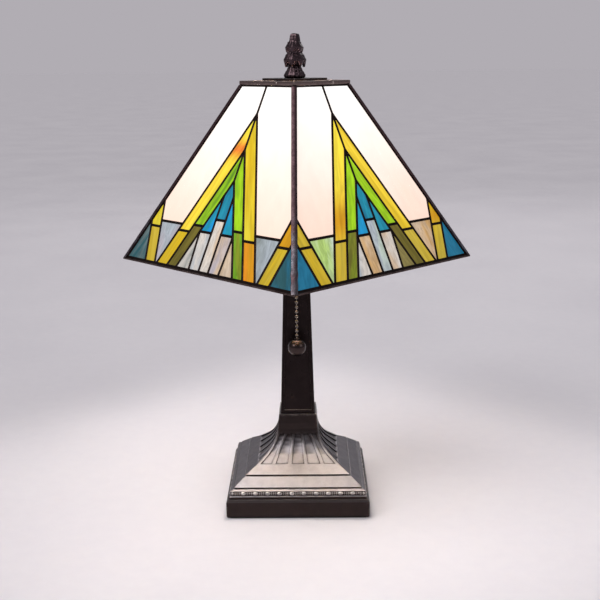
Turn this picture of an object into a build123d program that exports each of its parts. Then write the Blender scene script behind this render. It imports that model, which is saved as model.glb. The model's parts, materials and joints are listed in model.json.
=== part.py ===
from build123d import *
import os
from math import atan2, cos, degrees, hypot, radians, sin, sqrt

# Leaded-glass table lamp: a square fluted foot, a slim square column, a pull-chain bulb socket,
# a wire harp and a four-sided pyramid shade of flat glass pieces held in lead.
# Millimetres. +Z is up, the origin is the centre of the felt under the foot, and -Y is the front.
# The foot's faces look along X and Y. The shade is turned an eighth of a turn, a corner to the front.

# ---------------------------------------------------------------- driving dimensions
LAMP_HEIGHT = 483.0
SHADE_HALF = 127.0  # half the rim's side, outside
SHADE_TOP_HALF = 39.0  # half the top frame's side, outside
RIM_Z = 258.0
RIM_TOP_Z = 259.8
FRAME_Z = 433.5
FRAME_TOP_Z = 437.5
SHADE_TURN = 45.0

GLASS_THICK = 3.0
LEAD_FLANGE = 1.0  # lead over each face of the glass
LEAD_HEART = 0.5  # half the lead between two glass pieces
LEAD_COVER = 1.4  # how far the flange reaches over each glass piece
HIP_MARGIN = 3.4  # glass stops this far short of the shade's corner lines

PLINTH_HALF = 73.2
FELT_THICK = 1.0
COLLAR_TOP_Z = 94.0
COLUMN_Z = 92.5
COLUMN_TOP_Z = 250.0
COLUMN_HALF = 17.8
COLUMN_TOP_HALF = 13.3
COLUMN_WALL = 2.5

ROD_R = 5.0
ROD_CLEAR_R = 5.3
ROD_BOTTOM_Z = 2.8
ROD_TOP_Z = 266.0

SADDLE_Z = 256.0
SADDLE_THICK = 1.5
HARP_FOOT_X = 28.0
HARP_WIRE_R = 2.25
HARP_TOP_Z = 431.0

SOCKET_Z = SADDLE_Z + SADDLE_THICK
SHELL_R = 17.8
SHELL_TOP_Z = 320.0
INSULATOR_R = 15.6
INSULATOR_TOP_Z = 296.0

CHAIN_Y = -32.0
BEAD_R = 1.8
BEAD_PITCH = 5.0
LINK_R = 0.5
CHAIN_TOP_BEAD_Z = 293.0
CHAIN_PIVOT_Z = 275.5
BALL_Z = 170.7
BALL_R = 9.3
GUIDE_Z = 286.0

SEAT_Z = 435.7  # the shade's spider rests here on the harp's stud
SPIDER_THICK = 1.3
CAP_HALF = 23.0
CAP_THICK = 2.8
FINIAL_Z = SEAT_Z + SPIDER_THICK + CAP_THICK

os.makedirs("parts", exist_ok=True)


def write(piece, name):
    """Labels a finished piece and writes its STEP file."""
    piece.label = name
    export_step(piece, f"parts/{name}.step")


def square_outline(profile):
    """The closed outline of a half profile, a list of (half width, z), and its mirror image."""
    with BuildSketch(mode=Mode.PRIVATE) as outline:
        Polygon(*profile, *[(-x, z) for x, z in reversed(profile)], align=None)
    return outline.sketch


def mitred(outline, reach=200.0):
    """What two extrusions of one outline share, one along Y and one along X: square in plan at every height."""
    with BuildPart() as block:
        with BuildSketch(Plane.XZ):
            add(outline)
        extrude(amount=reach, both=True)
        with BuildSketch(Plane.YZ):
            add(outline)
        extrude(amount=reach, both=True, mode=Mode.INTERSECT)
    return block.part


def ring(outer_r, inner_r, z, height):
    """A plain round tube standing at z."""
    with BuildPart() as tube:
        with BuildSketch(Plane.XY.offset(z)):
            Circle(outer_r)
            Circle(inner_r, mode=Mode.SUBTRACT)
        extrude(amount=height)
    return tube.part


# ---------------------------------------------------------------- foot
# Half profile of the foot from its bottom edge to the groove under the flutes, as (half width, z).
FOOT_STEPS = [
    (72.2, FELT_THICK),
    (PLINTH_HALF, 3.0),
    (PLINTH_HALF, 17.5),
    (71.8, 20.0),
    (70.4, 20.4),
    (70.4, 22.8),
    (69.2, 23.6),
    (69.2, 28.4),
    (66.6, 29.6),
    (64.8, 29.8),
    (65.4, 31.0),
    (55.0, 38.8),
    (53.4, 38.8),
    (53.6, 40.2),
    (43.6, 46.2),
]
FLARE_LINE_END = (33.5, 54.3)
FLARE_ARC_END = (20.8, 79.1)
COLLAR_FOOT = (20.6, 84.0)
COLLAR_LIP = (19.4, COLLAR_TOP_Z)
CAVITY = [(69.2, 0.0), (69.2, 15.0), (64.0, 16.0), (64.0, 25.0), (49.0, 35.5), (30.0, 49.5), (18.0, 66.0), (16.5, 89.0)]
FLUTES = 5
FLUTE_DEPTH = 1.2
FLUTE_Z = 47.2
FLUTE_TOP_Z = 73.0
FLUTE_FOOT = (16.9, 13.0)  # pitch and width at the flutes' lower end
FLUTE_HEAD = (8.2, 5.6)
INLET_Z = 10.0
INLET_R = 4.5


def foot_face(inset=0.0):
    """The foot's silhouette as a sketch; the flared part can stand inside itself by an inset."""
    run = (FLARE_LINE_END[0] - FOOT_STEPS[-1][0], FLARE_LINE_END[1] - FOOT_STEPS[-1][1])
    slope = hypot(*run)
    dx, dz = -inset * run[1] / slope, inset * run[0] / slope
    start = (FOOT_STEPS[-1][0] + dx, FOOT_STEPS[-1][1] + dz)
    flare = (FLARE_LINE_END[0] + dx, FLARE_LINE_END[1] + dz)
    lower = [(0, FELT_THICK)] + FOOT_STEPS + ([start] if inset else []) + [flare]
    with BuildSketch(mode=Mode.PRIVATE) as silhouette:
        with BuildLine():
            steps = Polyline(*lower)
            arc = TangentArc(steps @ 1, (FLARE_ARC_END[0] - inset, FLARE_ARC_END[1]), tangent=run)
            Polyline(arc @ 1, (COLLAR_FOOT[0] - inset, COLLAR_FOOT[1]), COLLAR_LIP, (0, COLLAR_TOP_Z))
            Line((0, COLLAR_TOP_Z), (0, FELT_THICK))
        make_face()
        mirror(about=Plane.YZ)
    return silhouette.sketch


def flute_face():
    """The five flutes of one side, seen square on: each narrows upwards, and all stay inside the corners."""
    with BuildSketch(mode=Mode.PRIVATE) as flutes:
        for k in range(FLUTES):
            n = k - (FLUTES - 1) / 2
            low, high = n * FLUTE_FOOT[0], n * FLUTE_HEAD[0]
            half_low, half_high = FLUTE_FOOT[1] / 2, FLUTE_HEAD[1] / 2
            Polygon(
                (low - half_low, FLUTE_Z),
                (low + half_low, FLUTE_Z),
                (high + half_high, FLUTE_TOP_Z),
                (high - half_high, FLUTE_TOP_Z),
                align=None,
            )
        add(foot_face(2.0), mode=Mode.INTERSECT)
    return flutes.sketch


foot_body = mitred(foot_face())
foot_core = mitred(foot_face(FLUTE_DEPTH))
foot_cavity = mitred(square_outline(CAVITY))

with BuildPart() as flute_cutter:
    for side in (Plane.XZ, Plane.YZ):
        with BuildSketch(side):
            add(flute_face())
        extrude(amount=100, both=True)
    add(foot_core, mode=Mode.SUBTRACT)

with BuildPart() as base_casting:
    add(foot_body)
    add(flute_cutter.part, mode=Mode.SUBTRACT)
    add(foot_cavity, mode=Mode.SUBTRACT)
    with BuildSketch(Plane.XY.offset(COLUMN_Z)):
        Rectangle(2 * COLUMN_HALF + 0.4, 2 * COLUMN_HALF + 0.4)
    extrude(amount=10, mode=Mode.SUBTRACT)
    with Locations((0, 0, COLUMN_Z)):
        Hole(ROD_CLEAR_R, depth=10)
    with BuildSketch(Plane.XZ.offset(-PLINTH_HALF - 1)):
        with Locations((0, INLET_Z)):
            Circle(INLET_R)
    extrude(amount=8, mode=Mode.SUBTRACT)
write(base_casting.part, "base_casting")

with BuildPart() as felt_pad:
    with BuildSketch():
        RectangleRounded(142, 142, 3)
    extrude(amount=FELT_THICK)
write(felt_pad.part, "felt_pad")

WEIGHT_Z = 3.0
WEIGHT_TOP_Z = 13.0
NUT_POCKET_TOP_Z = 9.0
with BuildPart() as base_weight:
    with BuildSketch(Plane.XY.offset(WEIGHT_Z)):
        RectangleRounded(136, 136, 4)
    extrude(amount=WEIGHT_TOP_Z - WEIGHT_Z)
    with BuildSketch(Plane.XY.offset(WEIGHT_Z)):
        Circle(12)
        with Locations((0, 35)):
            Rectangle(11, 70)
    extrude(amount=NUT_POCKET_TOP_Z - WEIGHT_Z, mode=Mode.SUBTRACT)
    with BuildSketch(Plane.XY.offset(WEIGHT_Z)):
        with Locations((0, 60)):
            Rectangle(11, 20)
    extrude(amount=WEIGHT_TOP_Z - WEIGHT_Z, mode=Mode.SUBTRACT)
    with Locations((0, 0, WEIGHT_TOP_Z)):
        Hole(ROD_CLEAR_R, depth=20)
write(base_weight.part, "base_weight")

WASHER_THICK = 1.2
NUT_THICK = 4.5
write(ring(8.5, ROD_CLEAR_R, NUT_POCKET_TOP_Z - WASHER_THICK, WASHER_THICK), "lock_washer")

with BuildPart() as rod_nut:
    with BuildSketch(Plane.XY.offset(NUT_POCKET_TOP_Z - WASHER_THICK - NUT_THICK)):
        RegularPolygon(8.2, 6)
        Circle(ROD_R + 0.02, mode=Mode.SUBTRACT)
    extrude(amount=NUT_THICK)
write(rod_nut.part, "rod_nut")

write(ring(ROD_R, 3.5, ROD_BOTTOM_Z, ROD_TOP_Z - ROD_BOTTOM_Z), "threaded_rod")

BUSHING_BORE_R = 3.2
BUSHING_FACE_Y = PLINTH_HALF + 1.5
with BuildPart() as cord_bushing:
    with BuildSketch(Plane.XZ.offset(-BUSHING_FACE_Y)):
        with Locations((0, INLET_Z)):
            Circle(6.2)
    extrude(amount=1.5)
    with BuildSketch(Plane.XZ.offset(-BUSHING_FACE_Y)):
        with Locations((0, INLET_Z)):
            Circle(INLET_R - 0.05)
    extrude(amount=6.7)
    with BuildSketch(Plane.XZ.offset(-BUSHING_FACE_Y)):
        with Locations((0, INLET_Z)):
            Circle(BUSHING_BORE_R)
    extrude(amount=6.7, mode=Mode.SUBTRACT)
write(cord_bushing.part, "cord_bushing")

# ---------------------------------------------------------------- column
COLUMN_BORDER = 3.2  # plain margin round each sunk panel
PANEL_DEPTH = 0.8
PANEL_Z = COLUMN_Z + 5.5
PANEL_TOP_Z = COLUMN_TOP_Z - 6.0


def column_half(z):
    """Half the column's side at a height."""
    share = (z - COLUMN_Z) / (COLUMN_TOP_Z - COLUMN_Z)
    return COLUMN_HALF + share * (COLUMN_TOP_HALF - COLUMN_HALF)


def tapered(inset, low_z, high_z):
    """The column's tapered block between two heights, standing inside its faces by an inset."""
    with BuildPart() as block:
        for z in (low_z, high_z):
            with BuildSketch(Plane.XY.offset(z)):
                Rectangle(2 * (column_half(z) - inset), 2 * (column_half(z) - inset))
        loft()
    return block.part


low = column_half(PANEL_Z) - COLUMN_BORDER
high = column_half(PANEL_TOP_Z) - COLUMN_BORDER
with BuildPart() as panel_cutter:
    for side in (Plane.XZ, Plane.YZ):
        with BuildSketch(side):
            Polygon((-low, PANEL_Z), (low, PANEL_Z), (high, PANEL_TOP_Z), (-high, PANEL_TOP_Z), align=None)
        extrude(amount=40, both=True)
    add(tapered(PANEL_DEPTH, COLUMN_Z, COLUMN_TOP_Z), mode=Mode.SUBTRACT)

with BuildPart() as column:
    add(tapered(0, COLUMN_Z, COLUMN_TOP_Z))
    add(tapered(COLUMN_WALL, COLUMN_Z, COLUMN_TOP_Z), mode=Mode.SUBTRACT)
    add(panel_cutter.part, mode=Mode.SUBTRACT)
write(column.part, "column")

with BuildPart() as column_cap:
    with BuildSketch(Plane.XY.offset(COLUMN_TOP_Z)):
        Rectangle(33, 33)
    extrude(amount=SADDLE_Z - COLUMN_TOP_Z)
    chamfer(column_cap.faces().sort_by(Axis.Z)[-1].edges(), length=2.5)
    with Locations((0, 0, SADDLE_Z)):
        Hole(ROD_CLEAR_R, depth=10)
write(column_cap.part, "column_cap")

# ---------------------------------------------------------------- harp and its saddle
TONGUE_R = 2.0
TONGUE_TOP_Z = 268.0
HARP_FOOT_Z = 258.0
HARP_FOOT_R = 3.2
HARP_FOOT_TOP_Z = 273.0
FERRULE_R = 4.7
HARP_BOSS_R = 7.0
HARP_BOSS_Z = 428.5
HARP_BOSS_TOP_Z = 433.4

with BuildPart() as harp_saddle:
    with BuildSketch(Plane.XY.offset(SADDLE_Z)):
        Circle(11)
        SlotOverall(2 * HARP_FOOT_X + 10, 10)
        Circle(ROD_CLEAR_R, mode=Mode.SUBTRACT)
    extrude(amount=SADDLE_THICK)
    with BuildSketch(Plane.XY.offset(SADDLE_Z + SADDLE_THICK)):
        with Locations((-HARP_FOOT_X, 0), (HARP_FOOT_X, 0)):
            Circle(TONGUE_R)
    extrude(amount=TONGUE_TOP_Z - SADDLE_Z - SADDLE_THICK)
write(harp_saddle.part, "harp_saddle")

# The harp's wire on its +X side, from the top of the foot to the middle of the top.
HARP_SIDE = [(HARP_FOOT_X, HARP_FOOT_TOP_Z - 2), (HARP_FOOT_X, 296), (45, 330), (45, 392), (24, HARP_TOP_Z), (0, HARP_TOP_Z)]
HARP_BENDS = [30, 30, 34, 16]

with BuildPart() as harp:
    for sign in (1, -1):
        with BuildLine(Plane.XZ) as wire:
            FilletPolyline(*[(sign * x, z) for x, z in HARP_SIDE], radius=HARP_BENDS)
        with BuildSketch(Plane.XY.offset(HARP_SIDE[0][1])):
            with Locations((sign * HARP_FOOT_X, 0)):
                Circle(HARP_WIRE_R)
        sweep(path=wire.line)
    with BuildSketch(Plane.XY.offset(HARP_FOOT_Z)):
        with Locations((-HARP_FOOT_X, 0), (HARP_FOOT_X, 0)):
            Circle(HARP_FOOT_R)
    extrude(amount=HARP_FOOT_TOP_Z - HARP_FOOT_Z)
    with BuildSketch(Plane.XY.offset(HARP_FOOT_Z)):
        with Locations((-HARP_FOOT_X, 0), (HARP_FOOT_X, 0)):
            Circle(TONGUE_R + 0.15)
    extrude(amount=TONGUE_TOP_Z - HARP_FOOT_Z + 0.5, mode=Mode.SUBTRACT)
    with BuildSketch(Plane.XY.offset(HARP_BOSS_Z)):
        Circle(HARP_BOSS_R)
    extrude(amount=HARP_BOSS_TOP_Z - HARP_BOSS_Z)
    with BuildSketch(Plane.XY.offset(HARP_BOSS_Z)):
        Circle(3.0)
    extrude(amount=10, mode=Mode.SUBTRACT)
write(harp.part, "harp")

for name, sign in (("ferrule_left", -1), ("ferrule_right", 1)):
    with BuildPart() as ferrule:
        with BuildSketch(Plane.XY.offset(HARP_FOOT_Z)):
            with Locations((sign * HARP_FOOT_X, 0)):
                Circle(FERRULE_R)
                Circle(HARP_FOOT_R + 0.2, mode=Mode.SUBTRACT)
        extrude(amount=12)
    write(ferrule.part, name)

STUD_HEAD_Z = 425.8
STUD_TOP_Z = 449.0
STUD_R = 3.1
with BuildPart() as harp_stud:
    with BuildSketch(Plane.XZ):
        Polygon(
            (0, STUD_HEAD_Z),
            (4.5, STUD_HEAD_Z),
            (4.5, HARP_BOSS_Z - 0.3),
            (2.9, HARP_BOSS_Z - 0.3),
            (2.9, HARP_BOSS_TOP_Z + 0.3),
            (9.5, HARP_BOSS_TOP_Z + 0.3),
            (9.5, SEAT_Z),
            (STUD_R, SEAT_Z),
            (STUD_R, STUD_TOP_Z - 0.8),
            (STUD_R - 0.8, STUD_TOP_Z),
            (0, STUD_TOP_Z),
            align=None,
        )
    revolve(axis=Axis.Z)
write(harp_stud.part, "harp_stud")

# ---------------------------------------------------------------- socket and switch
SHELL_WALL = 0.8
with BuildPart() as socket_cap:
    with BuildSketch(Plane.XZ):
        Polygon(
            (ROD_R + 0.02, SOCKET_Z),
            (8.5, SOCKET_Z),
            (8.5, 261.0),
            (15.5, 265.0),
            (16.9, 268.0),
            (16.9, 275.0),
            (16.1, 275.0),
            (16.1, 268.5),
            (14.8, 266.0),
            (8.0, 262.4),
            (ROD_R + 0.02, 262.4),
            align=None,
        )
    revolve(axis=Axis.Z)
write(socket_cap.part, "socket_cap")

GUIDE_NECK_R = 3.6
with BuildPart() as socket_shell:
    with BuildSketch(Plane.XZ):
        Polygon(
            (16.95, 270.0),
            (SHELL_R, 270.0),
            (SHELL_R, 300.0),
            (SHELL_R + 0.9, 302.0),
            (SHELL_R, 304.0),
            (SHELL_R, SHELL_TOP_Z - 2),
            (SHELL_R + 0.7, SHELL_TOP_Z),
            (SHELL_R - SHELL_WALL, SHELL_TOP_Z),
            (16.95, 304.0),
            align=None,
        )
    revolve(axis=Axis.Z)
    with BuildSketch(Plane.XZ):
        with Locations((0, GUIDE_Z)):
            Circle(GUIDE_NECK_R + 0.05)
    extrude(amount=30, mode=Mode.SUBTRACT)
write(socket_shell.part, "socket_shell")

with BuildPart() as socket_sleeve:
    add(ring(16.9, 16.2, 275.3, 318.0 - 275.3))
    with BuildSketch(Plane.XZ):
        with Locations((0, GUIDE_Z)):
            Circle(GUIDE_NECK_R + 0.05)
    extrude(amount=30, mode=Mode.SUBTRACT)
write(socket_sleeve.part, "socket_sleeve")

LEVER_Y = -6.0
LEVER_Z = 280.0
LEVER_REACH = 11.0
LEVER_PIN_R = 1.2
with BuildPart() as socket_insulator:
    with BuildSketch(Plane.XY.offset(268.6)):
        Circle(INSULATOR_R)
    extrude(amount=INSULATOR_TOP_Z - 268.6)
    with BuildSketch(Plane.XY.offset(274.0)):
        with Locations((0, -8.9)):
            Rectangle(4.6, 14.8)
    extrude(amount=20, mode=Mode.SUBTRACT)
    with BuildSketch(Plane.YZ):
        with Locations((LEVER_Y, LEVER_Z)):
            Circle(LEVER_PIN_R + 0.07)
    extrude(amount=5.2, both=True, mode=Mode.SUBTRACT)
    with BuildSketch(Plane.XY.offset(273.0)):
        with Locations((-14, 0), (14, 0)):
            Rectangle(5, 12)
    extrude(amount=13, mode=Mode.SUBTRACT)
write(socket_insulator.part, "socket_insulator")

with BuildPart() as switch_lever:
    with BuildSketch(Plane.YZ):
        with Locations((LEVER_Y, LEVER_Z)):
            Circle(3.0)
        with Locations((LEVER_Y, LEVER_Z + LEVER_REACH / 2)):
            Rectangle(2.6, LEVER_REACH)
        with Locations((LEVER_Y, LEVER_Z + LEVER_REACH)):
            Circle(1.3)
    extrude(amount=1.0, both=True)
    with BuildSketch(Plane.YZ):
        with Locations((LEVER_Y, LEVER_Z)):
            Circle(LEVER_PIN_R)
    extrude(amount=5.0, both=True)
write(switch_lever.part, "switch_lever")

with BuildPart() as terminal_screws:
    for sign in (-1, 1):
        with BuildSketch(Plane.YZ.offset(sign * 11.5)):
            with Locations((0, 279.5)):
                Circle(3.4)
        extrude(amount=sign * 2.2)
        with BuildSketch(Plane.YZ.offset(sign * 13.7)):
            with Locations((0, 279.5)):
                Rectangle(7.0, 0.9)
        extrude(amount=-sign * 0.8, mode=Mode.SUBTRACT)
write(terminal_screws.part, "terminal_screws")

with BuildPart() as screw_shell:
    with BuildSketch(Plane.XZ):
        Polygon(
            (9.0, INSULATOR_TOP_Z),
            (14.4, INSULATOR_TOP_Z),
            (14.4, 316.0),
            (13.7, 316.0),
            (13.7, INSULATOR_TOP_Z + 0.8),
            (9.0, INSULATOR_TOP_Z + 0.8),
            align=None,
        )
    revolve(axis=Axis.Z)
write(screw_shell.part, "screw_shell")

with BuildPart() as center_contact:
    with BuildSketch(Plane.XY.offset(INSULATOR_TOP_Z)):
        Circle(5.0)
    extrude(amount=0.8)
    with BuildSketch(Plane.XY.offset(INSULATOR_TOP_Z + 0.8)):
        Circle(2.6)
    extrude(amount=1.9)
write(center_contact.part, "center_contact")

GUIDE_R = 4.0
GUIDE_BORE_R = 2.5
GUIDE_MOUTH_Z = 278.0
GUIDE_TOP_Z = 298.5
with BuildPart() as chain_guide:
    with BuildSketch(Plane.XZ.offset(16.2)):
        with Locations((0, GUIDE_Z)):
            Circle(GUIDE_NECK_R)
    extrude(amount=-CHAIN_Y - 16.2)
    with BuildSketch(Plane.XY.offset(GUIDE_MOUTH_Z)):
        with Locations((0, CHAIN_Y)):
            Circle(GUIDE_R)
    extrude(amount=GUIDE_TOP_Z - GUIDE_MOUTH_Z)
    fillet(chain_guide.faces().sort_by(Axis.Z)[-1].edges(), radius=3.0)
    with BuildSketch(Plane.XY.offset(GUIDE_MOUTH_Z)):
        with Locations((0, CHAIN_Y)):
            Circle(GUIDE_R + 1.4)
    extrude(amount=2.6, taper=24)
    with BuildSketch(Plane.XY.offset(GUIDE_MOUTH_Z)):
        with Locations((0, CHAIN_Y)):
            Circle(GUIDE_BORE_R)
    extrude(amount=18.5, mode=Mode.SUBTRACT)
    with BuildSketch(Plane.XY.offset(GUIDE_MOUTH_Z)):
        with Locations((0, CHAIN_Y)):
            Circle(GUIDE_BORE_R + 1.6)
    extrude(amount=1.6, taper=44, mode=Mode.SUBTRACT)
    with BuildSketch(Plane.XZ.offset(15.0)):
        with Locations((0, GUIDE_Z)):
            Circle(2.0)
    extrude(amount=-CHAIN_Y - 15.0, mode=Mode.SUBTRACT)
write(chain_guide.part, "chain_guide")


def bead_string(bead_heights, low_z, high_z):
    """Round beads on one thin wire."""
    with BuildPart() as beads:
        with BuildSketch(Plane.XY.offset(low_z)):
            with Locations((0, CHAIN_Y)):
                Circle(LINK_R)
        extrude(amount=high_z - low_z)
        with Locations(*[(0, CHAIN_Y, z) for z in bead_heights]):
            Sphere(BEAD_R)
    return beads.part


GUIDED_BEADS = [CHAIN_TOP_BEAD_Z - BEAD_PITCH * k for k in range(4)]
HANGING_BEADS = [CHAIN_TOP_BEAD_Z - BEAD_PITCH * k for k in range(4, 22)]
write(bead_string(GUIDED_BEADS, CHAIN_PIVOT_Z + 0.15, CHAIN_TOP_BEAD_Z), "chain_top")
BALL_PIVOT_Z = BALL_Z + BALL_R + 1.0
END_KNOB_R = 0.8

with BuildPart() as pull_chain:
    add(bead_string(HANGING_BEADS, BALL_PIVOT_Z, CHAIN_PIVOT_Z - 0.15))
    with Locations((0, CHAIN_Y, BALL_PIVOT_Z)):
        Sphere(END_KNOB_R)
write(pull_chain.part, "pull_chain")

with BuildPart() as pull_ball:
    with Locations((0, CHAIN_Y, BALL_Z)):
        Sphere(BALL_R)
    with BuildSketch(Plane.XY.offset(BALL_Z + BALL_R - 0.6)):
        with Locations((0, CHAIN_Y)):
            Circle(2.6)
    extrude(amount=1.6)
    with Locations((0, CHAIN_Y, BALL_PIVOT_Z)):
        Sphere(END_KNOB_R + 0.05, mode=Mode.SUBTRACT)
write(pull_ball.part, "pull_ball")

# ---------------------------------------------------------------- bulb
BULB_R = 30.0
BULB_CENTRE_Z = 372.0
BULB_CAP_Z = 303.0
BULB_NECK_Z = 322.0
THREAD_R = 13.2
THREADS = 5
THREAD_PITCH = 3.63

with BuildPart() as bulb_base:
    with BuildSketch(Plane.XZ):
        thread = [(THREAD_R - 0.8 * (k % 2), BULB_CAP_Z + THREAD_PITCH * k / 2) for k in range(2 * THREADS + 1)]
        Polygon((0, BULB_CAP_Z - 0.01), (11.0, BULB_CAP_Z - 0.01), *thread[1:], (12.4, BULB_NECK_Z), (0, BULB_NECK_Z), align=None)
    revolve(axis=Axis.Z)
write(bulb_base.part, "bulb_base")

with BuildPart() as bulb_contact:
    with BuildSketch(Plane.XZ):
        Polygon(
            (0, 299.0), (2.6, 299.0), (4.2, 299.8), (9.5, BULB_CAP_Z - 0.01), (0, BULB_CAP_Z - 0.01), align=None
        )
    revolve(axis=Axis.Z)
write(bulb_contact.part, "bulb_contact")

with BuildPart() as bulb_glass:
    with BuildSketch(Plane.XZ):
        with BuildLine():
            shoulder = radians(-38)
            globe_low = (BULB_R * cos(shoulder), BULB_CENTRE_Z + BULB_R * sin(shoulder))
            neck = Line((0, BULB_NECK_Z), (13.4, BULB_NECK_Z))
            rise = Line(neck @ 1, (14.2, BULB_NECK_Z + 7))
            Spline(rise @ 1, globe_low, tangents=[(0.15, 1), (-sin(shoulder), cos(shoulder))])
            globe = CenterArc((0, BULB_CENTRE_Z), BULB_R, degrees(shoulder), 90 - degrees(shoulder))
            Line(globe @ 1, neck @ 0)
        make_face()
    revolve(axis=Axis.Z)
write(bulb_glass.part, "bulb_glass")

# ---------------------------------------------------------------- shade
SLOPE_RUN = SHADE_HALF - SHADE_TOP_HALF
TOP_EDGE_Z = 433.0
SLOPE_DROP = TOP_EDGE_Z - RIM_Z
SLANT = hypot(SLOPE_RUN, SLOPE_DROP)
# A side of the shade before it is turned: it looks to -Y, local x runs across and local -y down the slope.
PANEL_PLANE = Plane(
    origin=(0, -SHADE_TOP_HALF, TOP_EDGE_Z), x_dir=(1, 0, 0), z_dir=(0, -SLOPE_DROP / SLANT, SLOPE_RUN / SLANT)
)
PANEL_THICK = GLASS_THICK + 2 * LEAD_FLANGE
FLARE = SLOPE_RUN / SLANT  # how much a panel's half width grows per millimetre down the slope
FIELD_TOP = 0.0
FIELD_BOTTOM = 192.0

# Drawing of one panel, as (across, down the slope) from the middle of its top edge.
TENT_SLOPE = 0.448  # the tent's strips lean out this much per millimetre down
OUTER_APEX = 29.0
MIDDLE_APEX = 66.5
INNER_APEX = 98.7
IVORY_FOOT = 148.5
GREEN_BREAK = 147.5
AMBER_BREAK = 155.0
TEAL_FOOT = 153.0
KITE_FOOT = 139.0
KITE_HALF = 7.0
SIDE_STRIP_FOOT = 22.0
CORNER_LEAN = 0.267  # the corner strips lean in this much per millimetre down
CORNER_WIDTH = 15.8


def tent(apex, down):
    """How far out the tent line from an apex has come at a distance down the slope."""
    return TENT_SLOPE * (down - apex)


def field(down):
    """Half the width of the glass field at a distance down the slope."""
    return SHADE_TOP_HALF - HIP_MARGIN + FLARE * down


CORNER_PEAK = 128.0  # where the corner strip's outer line meets the field's edge


def corner(down, width=0.0):
    """How far out the corner strip's outer line, or its inner line a width away, is at a distance down the slope."""
    return field(CORNER_PEAK) - CORNER_LEAN * (down - CORNER_PEAK) + width


KITE_SHOULDER = INNER_APEX + KITE_HALF / TENT_SLOPE
TEAL_PEAK = CORNER_PEAK + CORNER_WIDTH / (FLARE + CORNER_LEAN)  # where the strip's inner line meets the edge
CORNER_INNER_FOOT = corner(FIELD_BOTTOM, CORNER_WIDTH)

# Glass of the right half of a panel by colour; each shape is a list of (across, down) and is mirrored.
HALF_PATTERN = {
    "ivory_glass": [
        [
            (0, FIELD_TOP),
            (field(FIELD_TOP), FIELD_TOP),
            (field(CORNER_PEAK), CORNER_PEAK),
            (corner(IVORY_FOOT), IVORY_FOOT),
            (tent(OUTER_APEX, IVORY_FOOT), IVORY_FOOT),
            (0, OUTER_APEX),
        ]
    ],
    "amber_glass": [
        [
            (0, OUTER_APEX),
            (tent(OUTER_APEX, AMBER_BREAK), AMBER_BREAK),
            (tent(MIDDLE_APEX, AMBER_BREAK), AMBER_BREAK),
            (0, MIDDLE_APEX),
        ],
        [
            (tent(MIDDLE_APEX, AMBER_BREAK), AMBER_BREAK),
            (tent(OUTER_APEX, AMBER_BREAK), AMBER_BREAK),
            (tent(OUTER_APEX, FIELD_BOTTOM), FIELD_BOTTOM),
            (tent(MIDDLE_APEX, FIELD_BOTTOM), FIELD_BOTTOM),
        ],
        [
            (field(CORNER_PEAK), CORNER_PEAK),
            (field(TEAL_PEAK), TEAL_PEAK),
            (corner(AMBER_BREAK, CORNER_WIDTH), AMBER_BREAK),
            (corner(AMBER_BREAK), AMBER_BREAK),
        ],
        [
            (corner(AMBER_BREAK), AMBER_BREAK),
            (corner(AMBER_BREAK, CORNER_WIDTH), AMBER_BREAK),
            (CORNER_INNER_FOOT, FIELD_BOTTOM),
            (corner(FIELD_BOTTOM), FIELD_BOTTOM),
        ],
    ],
    "green_glass": [
        [
            (0, MIDDLE_APEX),
            (tent(MIDDLE_APEX, GREEN_BREAK), GREEN_BREAK),
            (tent(INNER_APEX, GREEN_BREAK), GREEN_BREAK),
            (0, INNER_APEX),
        ],
        [
            (tent(INNER_APEX, GREEN_BREAK), GREEN_BREAK),
            (tent(MIDDLE_APEX, GREEN_BREAK), GREEN_BREAK),
            (tent(MIDDLE_APEX, FIELD_BOTTOM), FIELD_BOTTOM),
            (tent(INNER_APEX, FIELD_BOTTOM), FIELD_BOTTOM),
        ],
    ],
    "teal_glass": [
        [(KITE_HALF, KITE_SHOULDER), (tent(INNER_APEX, TEAL_FOOT), TEAL_FOOT), (KITE_HALF, TEAL_FOOT)],
        [(field(TEAL_PEAK), TEAL_PEAK), (field(FIELD_BOTTOM), FIELD_BOTTOM), (CORNER_INNER_FOOT, FIELD_BOTTOM)],
    ],
    "opal_glass": [
        [
            (KITE_HALF, TEAL_FOOT),
            (tent(INNER_APEX, TEAL_FOOT), TEAL_FOOT),
            (SIDE_STRIP_FOOT, FIELD_BOTTOM),
            (KITE_HALF, FIELD_BOTTOM),
        ],
        [
            (tent(INNER_APEX, TEAL_FOOT), TEAL_FOOT),
            (tent(INNER_APEX, FIELD_BOTTOM), FIELD_BOTTOM),
            (SIDE_STRIP_FOOT, FIELD_BOTTOM),
        ],
        [
            (tent(OUTER_APEX, IVORY_FOOT), IVORY_FOOT),
            (corner(IVORY_FOOT), IVORY_FOOT),
            (corner(FIELD_BOTTOM), FIELD_BOTTOM),
            (tent(OUTER_APEX, FIELD_BOTTOM), FIELD_BOTTOM),
        ],
    ],
}
# Glass on the panel's middle line.
MIDDLE_PATTERN = {
    "teal_glass": [
        [
            (0, INNER_APEX),
            (KITE_HALF, KITE_SHOULDER),
            (KITE_HALF, KITE_FOOT),
            (-KITE_HALF, KITE_FOOT),
            (-KITE_HALF, KITE_SHOULDER),
        ]
    ],
    "opal_glass": [
        [(KITE_HALF, KITE_FOOT), (KITE_HALF, FIELD_BOTTOM), (-KITE_HALF, FIELD_BOTTOM), (-KITE_HALF, KITE_FOOT)]
    ],
}


def glass_shapes(colour):
    """Every shape of one colour on a panel."""
    halves = HALF_PATTERN[colour]
    mirrored = [[(-across, down) for across, down in reversed(shape)] for shape in halves]
    return halves + mirrored + MIDDLE_PATTERN.get(colour, [])


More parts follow.
